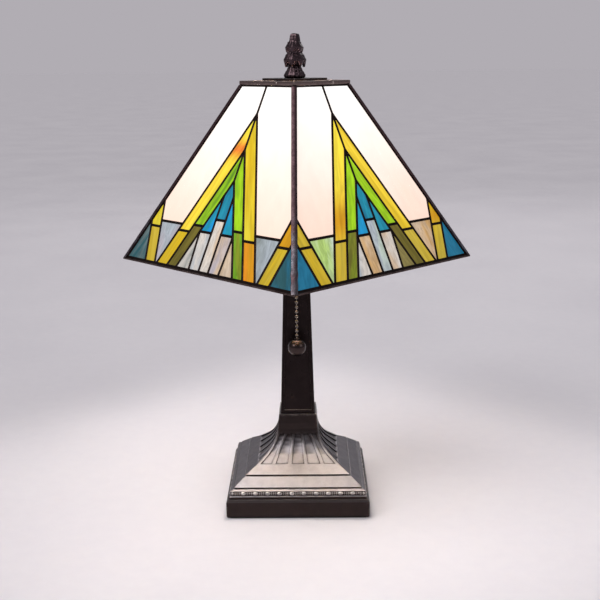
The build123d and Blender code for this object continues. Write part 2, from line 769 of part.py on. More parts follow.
def draw_glass(colours, inset):
    """The shapes of some colours on a panel, each drawn in from the pattern's lines by an inset."""
    with BuildSketch(mode=Mode.PRIVATE) as shapes:
        for colour in colours:
            for shape in glass_shapes(colour):
                with BuildSketch(mode=Mode.PRIVATE) as one:
                    Polygon(*[(across, -down) for across, down in shape], align=None)
                    offset(amount=-inset, kind=Kind.INTERSECTION)
                add(one.sketch)
    return shapes.sketch


def panel_wedge(low_z, high_z):
    """The quarter of the shade's plan that the front panel may fill, between two heights."""
    with BuildPart() as wedge:
        with BuildSketch(Plane.XY.offset(low_z)):
            Polygon((0, 0), (-220, -220), (220, -220), align=None)
        extrude(amount=high_z - low_z)
    return wedge.part


HIP_DIRECTION = Vector(SLOPE_RUN, -SLOPE_RUN, -SLOPE_DROP)
HIP_BAR_OUT, HIP_BAR_SIDE, HIP_BAR_IN = 1.0, 2.9, 5.0


def hip_bar():
    """The solder bar on the shade's front-right corner line before the shade is turned."""
    share = (TOP_EDGE_Z - RIM_TOP_Z) / SLOPE_DROP
    reach = SHADE_TOP_HALF + share * SLOPE_RUN
    out, side = 1 / sqrt(2), 1 / sqrt(2)
    with BuildPart() as bar:
        with BuildSketch(Plane.XY.offset(RIM_TOP_Z)):
            Polygon(
                (reach + HIP_BAR_OUT * out, -reach - HIP_BAR_OUT * out),
                (reach + HIP_BAR_SIDE * side, -reach + HIP_BAR_SIDE * side),
                (reach - HIP_BAR_IN * out, -reach + HIP_BAR_IN * out),
                (reach - HIP_BAR_SIDE * side, -reach - HIP_BAR_SIDE * side),
                align=None,
            )
        length = (FRAME_Z - RIM_TOP_Z) * HIP_DIRECTION.length / SLOPE_DROP
        extrude(amount=length, dir=-HIP_DIRECTION.normalized())
    return bar.part


one_hip = hip_bar()
hips = [Rot(Z=90 * k) * one_hip for k in range(4)]

with BuildPart() as front_lead:
    for depth, thick, inset in (
        (0.0, LEAD_FLANGE, LEAD_COVER),
        (LEAD_FLANGE, GLASS_THICK, LEAD_HEART),
        (LEAD_FLANGE + GLASS_THICK, LEAD_FLANGE, LEAD_COVER),
    ):
        with BuildSketch(PANEL_PLANE.offset(-depth)):
            with Locations((0, -SLANT / 2)):
                Rectangle(2 * SHADE_HALF + 40, SLANT + 20)
            add(draw_glass(HALF_PATTERN, inset), mode=Mode.SUBTRACT)
        extrude(amount=-thick)
    add(panel_wedge(RIM_TOP_Z, FRAME_Z), mode=Mode.INTERSECT)
    add(hips[0], mode=Mode.SUBTRACT)
    add(hips[3], mode=Mode.SUBTRACT)

front_glass = {}
for colour in HALF_PATTERN:
    with BuildPart() as pane:
        with BuildSketch(PANEL_PLANE.offset(-LEAD_FLANGE)):
            add(draw_glass([colour], LEAD_HEART))
        extrude(amount=-GLASS_THICK)
    front_glass[colour] = pane.part

PANELS = {"front_right": 0, "back_right": 1, "back_left": 2, "front_left": 3}
for place, quarter in PANELS.items():
    turn = Rot(Z=SHADE_TURN + 90 * quarter)
    write(turn * front_lead.part, f"{place}_lead")
    for colour, pane_part in front_glass.items():
        write(turn * pane_part, f"{place}_{colour}")

write(Compound(children=[Rot(Z=SHADE_TURN) * bar for bar in hips]), "hip_solder")


def mitred_bar(half_out, half_in, low_z, high_z):
    """The front bar of a square frame with mitred ends."""
    with BuildPart() as bar:
        with BuildSketch(Plane.XY.offset(low_z)):
            Polygon((-half_out, -half_out), (half_out, -half_out), (half_in, -half_in), (-half_in, -half_in), align=None)
        extrude(amount=high_z - low_z)
    return bar.part


for name, bar in (
    ("rim_band", mitred_bar(SHADE_HALF, SHADE_HALF - 7.0, RIM_Z, RIM_TOP_Z)),
    ("top_frame", mitred_bar(SHADE_TOP_HALF, SHADE_TOP_HALF - 4.0, FRAME_Z, FRAME_TOP_Z)),
):
    write(Compound(children=[Rot(Z=SHADE_TURN + 90 * k) * bar for k in range(4)]), name)

with BuildPart() as shade_spider:
    with BuildSketch(Plane.XY.offset(SEAT_Z)):
        Circle(16)
        with Locations(Rot(Z=SHADE_TURN)):
            Rectangle(2 * SHADE_TOP_HALF - 8, 8)
            Rectangle(8, 2 * SHADE_TOP_HALF - 8)
        Circle(5.5, mode=Mode.SUBTRACT)
    extrude(amount=SPIDER_THICK)
write(shade_spider.part, "shade_spider")

# ---------------------------------------------------------------- cap plate and finial
with BuildPart() as cap_plate:
    with BuildSketch(Plane.XY.offset(SEAT_Z + SPIDER_THICK)):
        with Locations(Rot(Z=SHADE_TURN)):
            Rectangle(2 * CAP_HALF, 2 * CAP_HALF)
        Circle(3.6, mode=Mode.SUBTRACT)
    extrude(amount=CAP_THICK)
write(cap_plate.part, "cap_plate")

INSERT_R = 5.0
INSERT_TOP_Z = FINIAL_Z + 12.0
write(ring(INSERT_R, 3.4, FINIAL_Z, INSERT_TOP_Z - FINIAL_Z), "finial_insert")

# Half profile of the pine-cone finial above its foot, as (radius, height above the foot).
with BuildPart() as finial:
    with BuildSketch(Plane.XZ.offset(0)):
        with BuildLine():
            base = Line((0, FINIAL_Z), (9.4, FINIAL_Z))
            foot = ThreePointArc(base @ 1, (11.0, FINIAL_Z + 2.6), (9.8, FINIAL_Z + 5.2))
            waist = Line(foot @ 1, (6.8, FINIAL_Z + 11.2))
            low = ThreePointArc(waist @ 1, (11.4, FINIAL_Z + 17.2), (7.2, FINIAL_Z + 25.2))
            high = ThreePointArc(low @ 1, (9.2, FINIAL_Z + 29.4), (6.2, FINIAL_Z + 33.2))
            neck = Line(high @ 1, (4.8, FINIAL_Z + 39.4))
            tip = Polyline(neck @ 1, (3.9, LAMP_HEIGHT - 1.2), (1.8, LAMP_HEIGHT), (0, LAMP_HEIGHT))
            Line(tip @ 1, base @ 0)
        make_face()
    revolve(axis=Axis.Z)
    with BuildSketch(Plane.XY.offset(FINIAL_Z)):
        Circle(INSERT_R)
    extrude(amount=INSERT_TOP_Z - FINIAL_Z, mode=Mode.SUBTRACT)
write(finial.part, "finial")
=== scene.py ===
"""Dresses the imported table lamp: leaded glass, solder, dark bronze, brass, its own light and the studio."""

from __future__ import annotations

import json
import logging
import math
from collections.abc import Iterable, Sequence
from dataclasses import dataclass, field
from enum import Enum
from functools import cache

import bmesh
import bpy
from mathutils import Matrix, Vector, noise

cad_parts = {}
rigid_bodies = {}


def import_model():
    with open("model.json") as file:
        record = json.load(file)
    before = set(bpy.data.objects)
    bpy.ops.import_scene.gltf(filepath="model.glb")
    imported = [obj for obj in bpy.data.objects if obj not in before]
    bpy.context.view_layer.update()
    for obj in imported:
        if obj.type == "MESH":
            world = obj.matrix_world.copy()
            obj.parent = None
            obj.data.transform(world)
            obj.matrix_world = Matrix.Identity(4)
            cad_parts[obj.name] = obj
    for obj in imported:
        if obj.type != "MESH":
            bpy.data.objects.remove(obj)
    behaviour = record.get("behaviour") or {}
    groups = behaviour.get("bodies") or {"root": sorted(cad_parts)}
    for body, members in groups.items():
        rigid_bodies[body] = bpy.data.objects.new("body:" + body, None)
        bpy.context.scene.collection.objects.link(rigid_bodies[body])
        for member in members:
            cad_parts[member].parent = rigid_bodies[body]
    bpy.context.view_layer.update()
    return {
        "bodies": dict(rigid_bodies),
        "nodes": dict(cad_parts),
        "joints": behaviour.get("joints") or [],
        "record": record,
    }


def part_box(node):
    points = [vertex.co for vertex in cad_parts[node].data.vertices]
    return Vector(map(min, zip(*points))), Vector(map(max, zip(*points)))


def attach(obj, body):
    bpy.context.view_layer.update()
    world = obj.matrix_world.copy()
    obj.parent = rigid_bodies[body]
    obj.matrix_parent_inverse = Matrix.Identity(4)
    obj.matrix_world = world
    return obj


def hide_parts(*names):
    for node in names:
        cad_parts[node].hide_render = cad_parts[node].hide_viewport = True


log = logging.getLogger("lamp")

MM = 0.001

Point2 = tuple[float, float]
Colour = tuple[float, float, float]
BMesh = bmesh.types.BMesh
Material = bpy.types.Material
Node = bpy.types.Node
Piece = bpy.types.Object
Socket = bpy.types.NodeSocket
Tree = bpy.types.NodeTree


# ------------------------------------------------------------------ small helpers
def linear(red: float, green: float, blue: float) -> Colour:
    """Turns a display colour into the linear one that shaders take.

    Args:
        red, green, blue: the display values, 0 to 255.
    Returns:
        The linear colour, 0 to 1.
    """
    parts = (value / 255 for value in (red, green, blue))
    return tuple(part / 12.92 if part <= 0.04045 else ((part + 0.055) / 1.055) ** 2.4 for part in parts)


def wander(point: Vector, scale: float, seed: float = 0.0) -> float:
    """Smooth noise between about -1 and 1.

    Args:
        point: where it is read, in metres.
        scale: size of its features, in metres.
        seed: moves it to another part of the pattern.
    Returns:
        The noise there.
    """
    return noise.noise(point / scale + Vector((seed, seed * 1.7, seed * 0.6)))


def mesh_object(name: str, made: BMesh, smooth: bool = True, sharp_deg: float = 40.0) -> Piece:
    """Turns a bmesh into an object in the scene and frees it.

    Args:
        name: the piece's name.
        made: its mesh.
        smooth: whether its faces are shaded smooth.
        sharp_deg: edges that turn more than this stay sharp.
    Returns:
        The new object.
    """
    bmesh.ops.recalc_face_normals(made, faces=made.faces)
    for face in made.faces:
        face.smooth = smooth
    for edge in made.edges:
        turned = len(edge.link_faces) == 2 and edge.calc_face_angle(0.0) > math.radians(sharp_deg)
        edge.smooth = not turned
    data = bpy.data.meshes.new(name)
    made.to_mesh(data)
    made.free()
    piece = bpy.data.objects.new(name, data)
    bpy.context.scene.collection.objects.link(piece)
    return piece


def loft(made: BMesh, rings: Sequence[Sequence[Vector]], closed: bool = True, caps: bool = True) -> None:
    """Skins a row of point rings with quads.

    Args:
        made: the mesh that gets them.
        rings: rings of the same number of points.
        closed: whether each ring joins its own ends.
        caps: whether the first and last rings are filled.
    """
    rows = [[made.verts.new(point) for point in ring] for ring in rings]
    count = len(rows[0])
    for low, high in zip(rows, rows[1:]):
        for k in range(count if closed else count - 1):
            after = (k + 1) % count
            made.faces.new((low[k], low[after], high[after], high[k]))
    if caps and closed:
        made.faces.new(rows[0])
        made.faces.new(rows[-1])


def circle_ring(
    radius: float, height: float, count: int, centre: Point2 = (0.0, 0.0), base: float = 0.0
) -> list[Vector]:
    """A level ring of points.

    Args:
        radius, height: its size, and its height over the base.
        count: how many points it has.
        centre, base: what it stands round and on.
    Returns:
        The points in order.
    """
    origin = Vector((*centre, base))
    turns = [math.tau * k / count for k in range(count)]
    return [Vector((radius * math.cos(turn), radius * math.sin(turn), height)) + origin for turn in turns]


def settle(piece: Piece) -> None:
    """Applies every modifier of a piece, in order."""
    graph = bpy.context.evaluated_depsgraph_get()
    done = bpy.data.meshes.new_from_object(piece.evaluated_get(graph))
    piece.modifiers.clear()
    piece.data = done


def dress(piece: Piece, material: Material) -> None:
    """Gives a whole piece one material."""
    piece.data.materials.clear()
    piece.data.materials.append(material)


def carry_over(frame: dict, material: Material, easing: float, *names: str, segments: int = 2) -> None:
    """Dresses CAD pieces and eases their sharp edges with modifiers, leaving their own meshes alone.

    Args:
        frame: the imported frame.
        material: what they are dressed in.
        easing: the width of the rounding, in metres; none where it is 0.
        names: the CAD nodes.
        segments: how many faces the rounding takes.
    """
    for name in names:
        node = frame["nodes"][name]
        dress(node, material)
        if not easing:
            continue
        weld = node.modifiers.new("weld", "WELD")
        weld.merge_threshold = 0.01 * MM
        rounding = node.modifiers.new("round_off", "BEVEL")
        rounding.width = easing
        rounding.segments = segments
        rounding.limit_method = "ANGLE"
        rounding.angle_limit = math.radians(28)
        rounding.harden_normals = True
        rounding.use_clamp_overlap = True


def install(piece: Piece, material: Material, body: str, node: str = "") -> None:
    """Dresses a new piece and ties it to the CAD model.

    Args:
        piece: the new piece.
        material: what it is dressed in.
        body: the body it rides on.
        node: the CAD node it stands for, if any.
    """
    dress(piece, material)
    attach(piece, body)
    if node:
        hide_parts(node)


# ------------------------------------------------------------------ shader writing
class Sketch:
    """Adds, fills and links the nodes of one tree."""

    def __init__(self, tree: Tree) -> None:
        """Keeps the tree."""
        self.tree = tree

    def feed(self, node: Node, inputs: dict[str | int, object]) -> None:
        """Fills inputs of a node.

        Args:
            node: the node.
            inputs: values or sockets, by the input's name or number.
        """
        for key, value in inputs.items():
            if isinstance(value, Socket):
                self.tree.links.new(value, node.inputs[key])
            else:
                node.inputs[key].default_value = value

    def add(self, kind: str, inputs: dict[str | int, object] | None = None, **settings: object) -> Node:
        """Adds a node.

        Args:
            kind: the node's type without its ShaderNode prefix.
            inputs: values or sockets for its inputs, by name or number.
            settings: the node's own properties.
        Returns:
            The node.
        """
        node = self.tree.nodes.new("ShaderNode" + kind)
        for name, value in settings.items():
            setattr(node, name, value)
        self.feed(node, inputs or {})
        return node

    def math(self, operation: str, *values: object, clamp: bool = False) -> Socket:
        """The result of a Math node."""
        return self.add("Math", dict(enumerate(values)), operation=operation, use_clamp=clamp).outputs[0]

    def vector(self, operation: str, *values: object) -> Socket:
        """The first result of a VectorMath node."""
        return self.add("VectorMath", dict(enumerate(values)), operation=operation).outputs[0]

    def blend(self, factor: object, first: object, second: object) -> Socket:
        """Two colours mixed by a factor."""
        inputs = {0: factor, 6: opaque(first), 7: opaque(second)}
        return self.add("Mix", inputs, data_type="RGBA", clamp_factor=True).outputs[2]

    def remap(
        self, value: object, low: object, high: object, to_low: float = 0.0, to_high: float = 1.0
    ) -> Socket:
        """A value moved from one range to another, clamped and eased."""
        inputs = dict(enumerate((value, low, high, to_low, to_high)))
        return self.add("MapRange", inputs, interpolation_type="SMOOTHSTEP").outputs[0]

    def noise(
        self, vector: object, scale: object, detail: float, rough: float = 0.5, warp: float = 0.0
    ) -> Socket:
        """The value of a noise texture."""
        inputs = {"Vector": vector, "Scale": scale, "Detail": detail, "Roughness": rough, "Distortion": warp}
        return self.add("TexNoise", inputs).outputs[0]

    def where(self) -> Socket:
        """The place on the piece, which is also its place in the lamp at rest."""
        return self.add("TexCoord").outputs["Object"]

    def group(self, tree: Tree, inputs: dict[str, object]) -> bpy.types.NodeOutputs:
        """The outputs of a node group, placed and filled."""
        return self.add("Group", inputs, node_tree=tree).outputs


def opaque(colour: object) -> object:
    """Adds a full alpha to a plain colour; sockets pass through."""
    return (*colour, 1.0) if isinstance(colour, tuple) and len(colour) == 3 else colour


def new_group(
    name: str, inputs: dict[str, float | None], outputs: Sequence[str]
) -> tuple[Sketch, bpy.types.NodeOutputs, Node]:
    """Starts a shader node group with named sockets.

    Args:
        name: the group's name.
        inputs: default of each input, or None for a vector.
        outputs: the names of its outputs, all plain values.
    Returns:
        A sketch of its tree, the sockets it is given, and the node that its results are fed to.
    """
    tree = bpy.data.node_groups.new(name, "ShaderNodeTree")
    for label, default in inputs.items():
        kind = "NodeSocketVector" if default is None else "NodeSocketFloat"
        made = tree.interface.new_socket(name=label, in_out="INPUT", socket_type=kind)
        if default is not None:
            made.default_value = default
    for label in outputs:
        tree.interface.new_socket(name=label, in_out="OUTPUT", socket_type="NodeSocketFloat")
    source = tree.nodes.new("NodeGroupInput")
    return Sketch(tree), source.outputs, tree.nodes.new("NodeGroupOutput")


@cache
def grain_group() -> Tree:
    """Cast or brushed grain: a fine pattern over a coarse one, stretched along one axis on request."""
    inputs = {"Vector": None, "Fine Scale": 900.0, "Coarse Scale": 90.0, "Stretch": 1.0}
    sketch, given, out = new_group("lamp_grain", inputs, ("Value", "Height"))
    stretch = sketch.add("CombineXYZ", {0: given["Stretch"], 1: given["Stretch"], 2: 1.0}).outputs[0]
    fine = sketch.noise(sketch.vector("MULTIPLY", given["Vector"], stretch), given["Fine Scale"], 3.0, 0.6)
    coarse = sketch.noise(given["Vector"], given["Coarse Scale"], 4.0, 0.55)
    for name, share in (("Value", 0.45), ("Height", 0.7)):
        parts = sketch.math("MULTIPLY", fine, share), sketch.math("MULTIPLY", coarse, round(1 - share, 2))
        sketch.feed(out, {name: sketch.math("ADD", *parts)})
    return sketch.tree


@cache
def wear_and_shade_group() -> Tree:
    """Masks for rubbed edges, and for corners and hollows, which are darkened as dark patina and as painted
    shade; both broken up by noise.
    """
    inputs = {"Vector": None, "Reach": 0.0025, "Noise Scale": 160.0}
    sketch, given, out = new_group("lamp_wear_and_shade", inputs, ("Edge", "Crevice"))
    bare, shut = (
        sketch.math("SUBTRACT", 1.0, sketch.add(
            "AmbientOcclusion", {"Distance": given["Reach"]}, inside=inside, samples=6).outputs["AO"])
        for inside in (True, False)
    )
    patchy = sketch.noise(given["Vector"], given["Noise Scale"], 4.0, 0.65)
    worn = sketch.math("MULTIPLY", bare, sketch.remap(patchy, 0.3, 0.62, 0.35, 1.25), clamp=True)
    sketch.feed(out, {"Edge": sketch.remap(worn, 0.18, 0.75), "Crevice": sketch.remap(shut, 0.08, 0.5)})
    return sketch.tree


@cache
def facing_group() -> Tree:
    """Masks for faces that look up, and for the patchy dust that lies on them."""
    inputs = {"Vector": None, "Noise Scale": 60.0, "From": 0.2, "To": 0.8}
    sketch, given, out = new_group("lamp_facing", inputs, ("Up", "Dust"))
    up = sketch.add("SeparateXYZ", {0: sketch.add("NewGeometry").outputs["Normal"]}).outputs[2]
    patches = sketch.noise(given["Vector"], given["Noise Scale"], 5.0, 0.6)
    lying = sketch.math("MULTIPLY", sketch.remap(up, 0.35, 0.95), sketch.remap(patches, 0.38, 0.7, 0.15))
    sketch.feed(out, {"Up": sketch.remap(up, given["From"], given["To"]), "Dust": lying})
    return sketch.tree


@cache
def streak_group() -> Tree:
    """The streaks and ripples of hand-rolled glass, running along the first axis of the vector given."""
    inputs = {"Vector": None, "Scale": 55.0, "Stretch": 0.16, "Sharpness": 0.5}
    sketch, given, out = new_group("lamp_streak", inputs, ("Streak", "Wisp", "Ripple"))
    shape = sketch.add("CombineXYZ", {0: given["Stretch"], 1: 1.0, 2: 1.0}).outputs[0]
    drawn = sketch.vector("MULTIPLY", given["Vector"], shape)
    broad = sketch.noise(drawn, given["Scale"], 4.0, warp=0.7)
    half = sketch.math("MULTIPLY", given["Sharpness"], 0.3)
    streak = sketch.remap(broad, sketch.math("ADD", 0.2, half), sketch.math("SUBTRACT", 0.8, half))
    wisp = sketch.noise(drawn, sketch.math("MULTIPLY", given["Scale"], 3.4), 5.0, warp=1.4)
    ripple = sketch.noise(given["Vector"], sketch.math("MULTIPLY", given["Scale"], 1.9), 1.5)
    sketch.feed(out, {"Streak": streak, "Wisp": wisp, "Ripple": ripple})
    return sketch.tree


@cache
def glow_group() -> Tree:
    """How strongly the bulb lights a spot of the shade from behind, from its distance to the bulb."""
    inputs = {"Position": None, "Bulb Height": 0.372, "Near": 1.5, "Far": 0.5}
    sketch, given, out = new_group("lamp_glow", inputs, ("Glow",))
    bulb = sketch.add("CombineXYZ", {0: 0.0, 1: 0.0, 2: given["Bulb Height"]}).outputs[0]
    away = sketch.add("VectorMath", {0: given["Position"], 1: bulb}, operation="DISTANCE").outputs["Value"]
    bright = sketch.add("MapRange", {0: away, 1: 0.05, 2: 0.19, 3: given["Near"], 4: given["Far"]}).outputs[0]
    sketch.feed(out, {"Glow": bright})
    return sketch.tree


def new_material(name: str) -> tuple[Material, Sketch, Node]:
    """Starts a material that has only a Principled shader.

    Args:
        name: the material's name.
    Returns:
        The material, a sketch of its tree and its shader node.
    """
    material = bpy.data.materials.new(name)
    material.use_nodes = True
    material.node_tree.nodes.clear()
    sketch = Sketch(material.node_tree)
    shader = sketch.add("BsdfPrincipled")
    sketch.add("OutputMaterial", {"Surface": shader.outputs[0]})
    return material, sketch, shader


def bump(sketch: Sketch, height: Socket, depth: float) -> Socket:
    """A normal bent by a height, 0 to 1, whose depth is in metres."""
    return sketch.add("Bump", {"Height": height, "Strength": 1.0, "Distance": depth}).outputs[0]


# ------------------------------------------------------------------ finishes
@dataclass(frozen=True)
class MetalFinish:
    """A metal with grain, rubbed edges, dark corners (dark patina in hollows and painted shade), a little
    dust, and optional painted light on faces that look up.

    Attributes give its colours, display 0 to 255, and how strong each effect is.
    """

    name: str
    base: Colour
    rubbed: Colour
    deep: Colour
    roughness: float = 0.4
    rough_spread: float = 0.12
    fine: float = 900.0
    coarse: float = 90.0
    stretch: float = 1.0
    grain_depth: float = 0.00006
    reach: float = 0.0025
    edge: float = 0.8
    crevice: float = 0.85
    dust: float = 0.0
    mottling: float = 0.35
    bare: Colour | None = None
    # Optional lighter colour painted on faces that look up, above a given height: painted light from above.
    painted_top_light: Colour | None = None
    painted_top_light_from: float = 0.0

    def material(self) -> Material:
        """Builds the finish's material; a lighter bare colour, standing for bare solder and a painted
        highlight, shows where the mesh's attribute says so.
        """
        material, sketch, shader = new_material(self.name)
        where = sketch.where()
        scales = {"Fine Scale": self.fine, "Coarse Scale": self.coarse, "Stretch": self.stretch}
        grain = sketch.group(grain_group(), {"Vector": where, **scales})
        wear_and_shade = sketch.group(wear_and_shade_group(), {"Vector": where, "Reach": self.reach})
        facing = sketch.group(facing_group(), {"Vector": where, "From": 0.15, "To": 0.72})
        base, rubbed, deep = linear(*self.base), linear(*self.rubbed), linear(*self.deep)
        colour: Colour | Socket = base
        # Lighter bare colour where the mesh marks it: bare solder, and a painted highlight.
        if self.bare:
            bare_solder_and_highlight = sketch.add("Attribute", attribute_name="bare_solder_and_highlight").outputs["Fac"]
            colour = sketch.blend(bare_solder_and_highlight, base, linear(*self.bare))
        # Painted light: up-facing faces above the given height are blended toward a lighter colour, as if lit
        # from above.
        if self.painted_top_light:
            height = sketch.add("SeparateXYZ", {0: where}).outputs[2]
            above = sketch.remap(height, self.painted_top_light_from - MM, self.painted_top_light_from, 0.12)
            colour = sketch.blend(sketch.math("MULTIPLY", facing["Up"], above), colour, linear(*self.painted_top_light))
        colour = sketch.blend(sketch.remap(grain["Value"], 0.36, 0.64, 0.0, self.mottling), colour, deep)
        # Darkens corners and hollows toward the deep colour: dark patina there, and painted shade where light
        # falls less.
        colour = sketch.blend(sketch.math("MULTIPLY", wear_and_shade["Crevice"], self.crevice), colour, deep)
        colour = sketch.blend(sketch.math("MULTIPLY", wear_and_shade["Edge"], self.edge), colour, rubbed)
        low, high = self.roughness - self.rough_spread, self.roughness + self.rough_spread
        roughness = sketch.remap(grain["Value"], 0.3, 0.7, low, high)
        if self.dust:
            amount = sketch.math("MULTIPLY", facing["Dust"], self.dust)
            colour = sketch.blend(amount, colour, linear(150, 140, 130))
            roughness = sketch.math("ADD", roughness, sketch.math("MULTIPLY", amount, 0.4), clamp=True)
        normal = bump(sketch, grain["Height"], self.grain_depth)
        sketch.feed(shader, {"Base Color": colour, "Roughness": roughness, "Metallic": 1.0, "Normal": normal})
        return material


@dataclass(frozen=True)
class GlassFinish:
    """Lit art glass: two tints per piece run together in streaks, with a rippled gloss."""

    name: str
    streak_scale: float = 55.0
    stretch: float = 0.16
    sharpness: float = 0.5
    near: float = 1.45
    far: float = 0.42
    roughness: float = 0.16
    ripple_depth: float = 0.0004
    wisp: float = 0.12
    body: float = 0.5

    def material(self) -> Material:
        """Builds the finish's material."""
        material, sketch, shader = new_material(self.name)
        grain = sketch.add("Attribute", attribute_name="grain").outputs["Vector"]
        names = "tint_a", "tint_b"
        tints = (sketch.add("Attribute", attribute_name=name).outputs["Color"] for name in names)
        shape = {"Scale": self.streak_scale, "Stretch": self.stretch, "Sharpness": self.sharpness}
        pattern = sketch.group(streak_group(), {"Vector": grain, **shape})
        glow = sketch.group(glow_group(), {"Position": sketch.where(), "Near": self.near, "Far": self.far})
        tint = sketch.blend(pattern["Streak"], *tints)
        bright = sketch.remap(pattern["Wisp"], 0.3, 0.7, 1.0 - self.wisp, 1.0 + self.wisp)
        bright = sketch.math("MULTIPLY", bright, glow["Glow"])
        own, lit = (
            sketch.add("VectorMath", {0: tint, "Scale": share}, operation="SCALE").outputs[0]
            for share in (self.body, bright)
        )
        rough = sketch.remap(pattern["Wisp"], 0.3, 0.7, self.roughness * 0.6, self.roughness * 1.5)
        normal = bump(sketch, pattern["Ripple"], self.ripple_depth)
        sketch.feed(shader, {"Base Color": own, "Roughness": rough, "Normal": normal})
        sketch.feed(shader, {"Emission Color": lit, "Emission Strength": 1.0})
        return material


@dataclass(frozen=True)
class PlainFinish:
    """A non-metal with a moulded, pressed or woven grain."""

    name: str
    base: Colour
    second: Colour
    roughness: float = 0.5
    fine: float = 1200.0
    coarse: float = 120.0
    grain_depth: float = 0.00005
    sheen: float = 0.0
    glow: float = 0.0
    clear_below: bool = False

    def material(self) -> Material:
        """Builds the finish's material."""
        material, sketch, shader = new_material(self.name)
        scales = {"Fine Scale": self.fine, "Coarse Scale": self.coarse}
        grain = sketch.group(grain_group(), {"Vector": sketch.where(), **scales})
        mixed = sketch.remap(grain["Value"], 0.3, 0.7)
        colour = sketch.blend(mixed, linear(*self.base), linear(*self.second))
        rough = sketch.remap(grain["Value"], 0.3, 0.7, self.roughness * 0.85, min(1.0, self.roughness * 1.15))
        normal = bump(sketch, grain["Height"], self.grain_depth)
        sketch.feed(shader, {"Base Color": colour, "Roughness": rough, "Normal": normal})
        sketch.feed(shader, {"Sheen Weight": self.sheen})
        if self.clear_below:
            underside = sketch.add("NewGeometry").outputs["Backfacing"]
            sketch.feed(shader, {"Alpha": sketch.math("SUBTRACT", 1.0, underside)})
        if self.glow:
            sketch.feed(shader, {"Emission Color": colour, "Emission Strength": self.glow})
        return material


# The lighter colour on up-facing faces above the plinth is painted light from the bulb; the plinth below
# keeps the dark base colour.
FOOT_BRONZE = MetalFinish(
    "foot_bronze", (54, 46, 45), (150, 140, 136), (20, 15, 15), roughness=0.42, rough_spread=0.06, fine=1500,
    coarse=130, grain_depth=0.00005, reach=0.003, edge=0.3, crevice=1.0, dust=0.04, mottling=0.12,
    painted_top_light=(146, 142, 147), painted_top_light_from=0.0225,
)
# A lighter copy of the foot's bronze for the bead moulding, which belongs to the same casting: painted
# highlights on the beads and reels.
LIT_MOULDING_BRONZE = MetalFinish(
    "moulding_bronze_painted_highlight", (142, 134, 132), (225, 218, 214), (14, 10, 10), roughness=0.3, rough_spread=0.06,
    fine=1500,
    coarse=130, grain_depth=0.00003, reach=0.0016, edge=0.7, crevice=1.0, mottling=0.1,
)
BALL_BRONZE = MetalFinish(
    "ball_bronze", (68, 57, 55), (150, 138, 132), (24, 18, 17), roughness=0.22, rough_spread=0.05, fine=1500,
    coarse=300, grain_depth=0.00002, reach=0.0008, edge=0.3, mottling=0.15,
)
# The lighter colour on the column's up-facing faces is painted light from above.
COLUMN_BRONZE = MetalFinish(
    "column_bronze", (40, 33, 33), (104, 94, 90), (16, 12, 12), roughness=0.36, fine=1300, coarse=110,
    grain_depth=0.00004, reach=0.0018, edge=0.5, mottling=0.15, painted_top_light=(120, 112, 110),
)
FINIAL_BRONZE = MetalFinish(
    "finial_bronze", (78, 64, 68), (190, 178, 178), (12, 8, 10), roughness=0.26, fine=900, coarse=200,
    grain_depth=0.00002, reach=0.0012, edge=0.35, crevice=1.0, mottling=0.15,
)
CAP_BRONZE = MetalFinish(
    "cap_bronze", (70, 58, 55), (214, 200, 190), (30, 20, 18), roughness=0.16, rough_spread=0.05, fine=700,
    coarse=60, grain_depth=0.00002, reach=0.0012, edge=0.9,
)
FRAME_STRIP = MetalFinish(
    "frame_strip", (134, 116, 112), (214, 200, 194), (34, 24, 24), roughness=0.34, fine=900, coarse=150,
    grain_depth=0.00005, reach=0.0015, edge=0.6,
)
RIM_STRIP = MetalFinish(
    "rim_strip", (74, 58, 56), (150, 134, 128), (22, 15, 15), roughness=0.38, fine=900, coarse=150,
    grain_depth=0.00008, reach=0.0015, edge=0.35,
)
LEAD_LINE = MetalFinish(
    "lead_line", (38, 28, 27), (90, 78, 74), (14, 9, 9), roughness=0.5, fine=1100, coarse=240,
    grain_depth=0.00003, reach=0.001, edge=0.15, mottling=0.5,
)
# The bare colour paints the lower seams silver: bare solder, and a painted highlight on the lumps near the
# rim.
HIP_LINE = MetalFinish(
    "hip_line", (74, 56, 60), (130, 116, 116), (26, 17, 20), roughness=0.36, fine=900, coarse=200,
    grain_depth=0.00005, reach=0.0012, edge=0.2, mottling=0.4, bare=(100, 100, 108),
)
HARP_BRASS = MetalFinish(
    "harp_brass", (196, 164, 104), (236, 214, 160), (92, 70, 40), roughness=0.3, fine=900, coarse=120,
    grain_depth=0.00002, reach=0.001, edge=0.4,
)
SOCKET_BRASS = MetalFinish(
    "socket_brass", (206, 172, 104), (240, 218, 160), (96, 72, 38), roughness=0.26, fine=1400, coarse=90,
    stretch=0.1, grain_depth=0.00002, reach=0.0012, edge=0.4,
)
CONTACT_BRASS = MetalFinish(
    "contact_brass", (214, 188, 122), (240, 222, 170), (120, 94, 52), roughness=0.34, grain_depth=0.00003,
    reach=0.0008,
)
CHAIN_METAL = MetalFinish(
    "chain_metal", (128, 118, 110), (210, 202, 194), (34, 28, 26), roughness=0.24, rough_spread=0.08,
    fine=1500,
    coarse=300, grain_depth=0.00003, reach=0.0008, edge=0.4,
)
ZINC_STEEL = MetalFinish(
    "zinc_steel", (188, 190, 188), (225, 225, 222), (110, 110, 104), roughness=0.38, grain_depth=0.00003,
    reach=0.001,
)
WEIGHT_IRON = MetalFinish(
    "weight_iron", (96, 94, 92), (140, 136, 130), (48, 42, 38), roughness=0.7, fine=500, coarse=80,
    grain_depth=0.0003, reach=0.003, edge=0.3,
)
BULB_CAP_METAL = MetalFinish(
    "bulb_cap_metal", (206, 206, 204), (235, 235, 232), (130, 128, 124), roughness=0.28, fine=1800,
    coarse=200,
    grain_depth=0.00002, reach=0.0012,
)
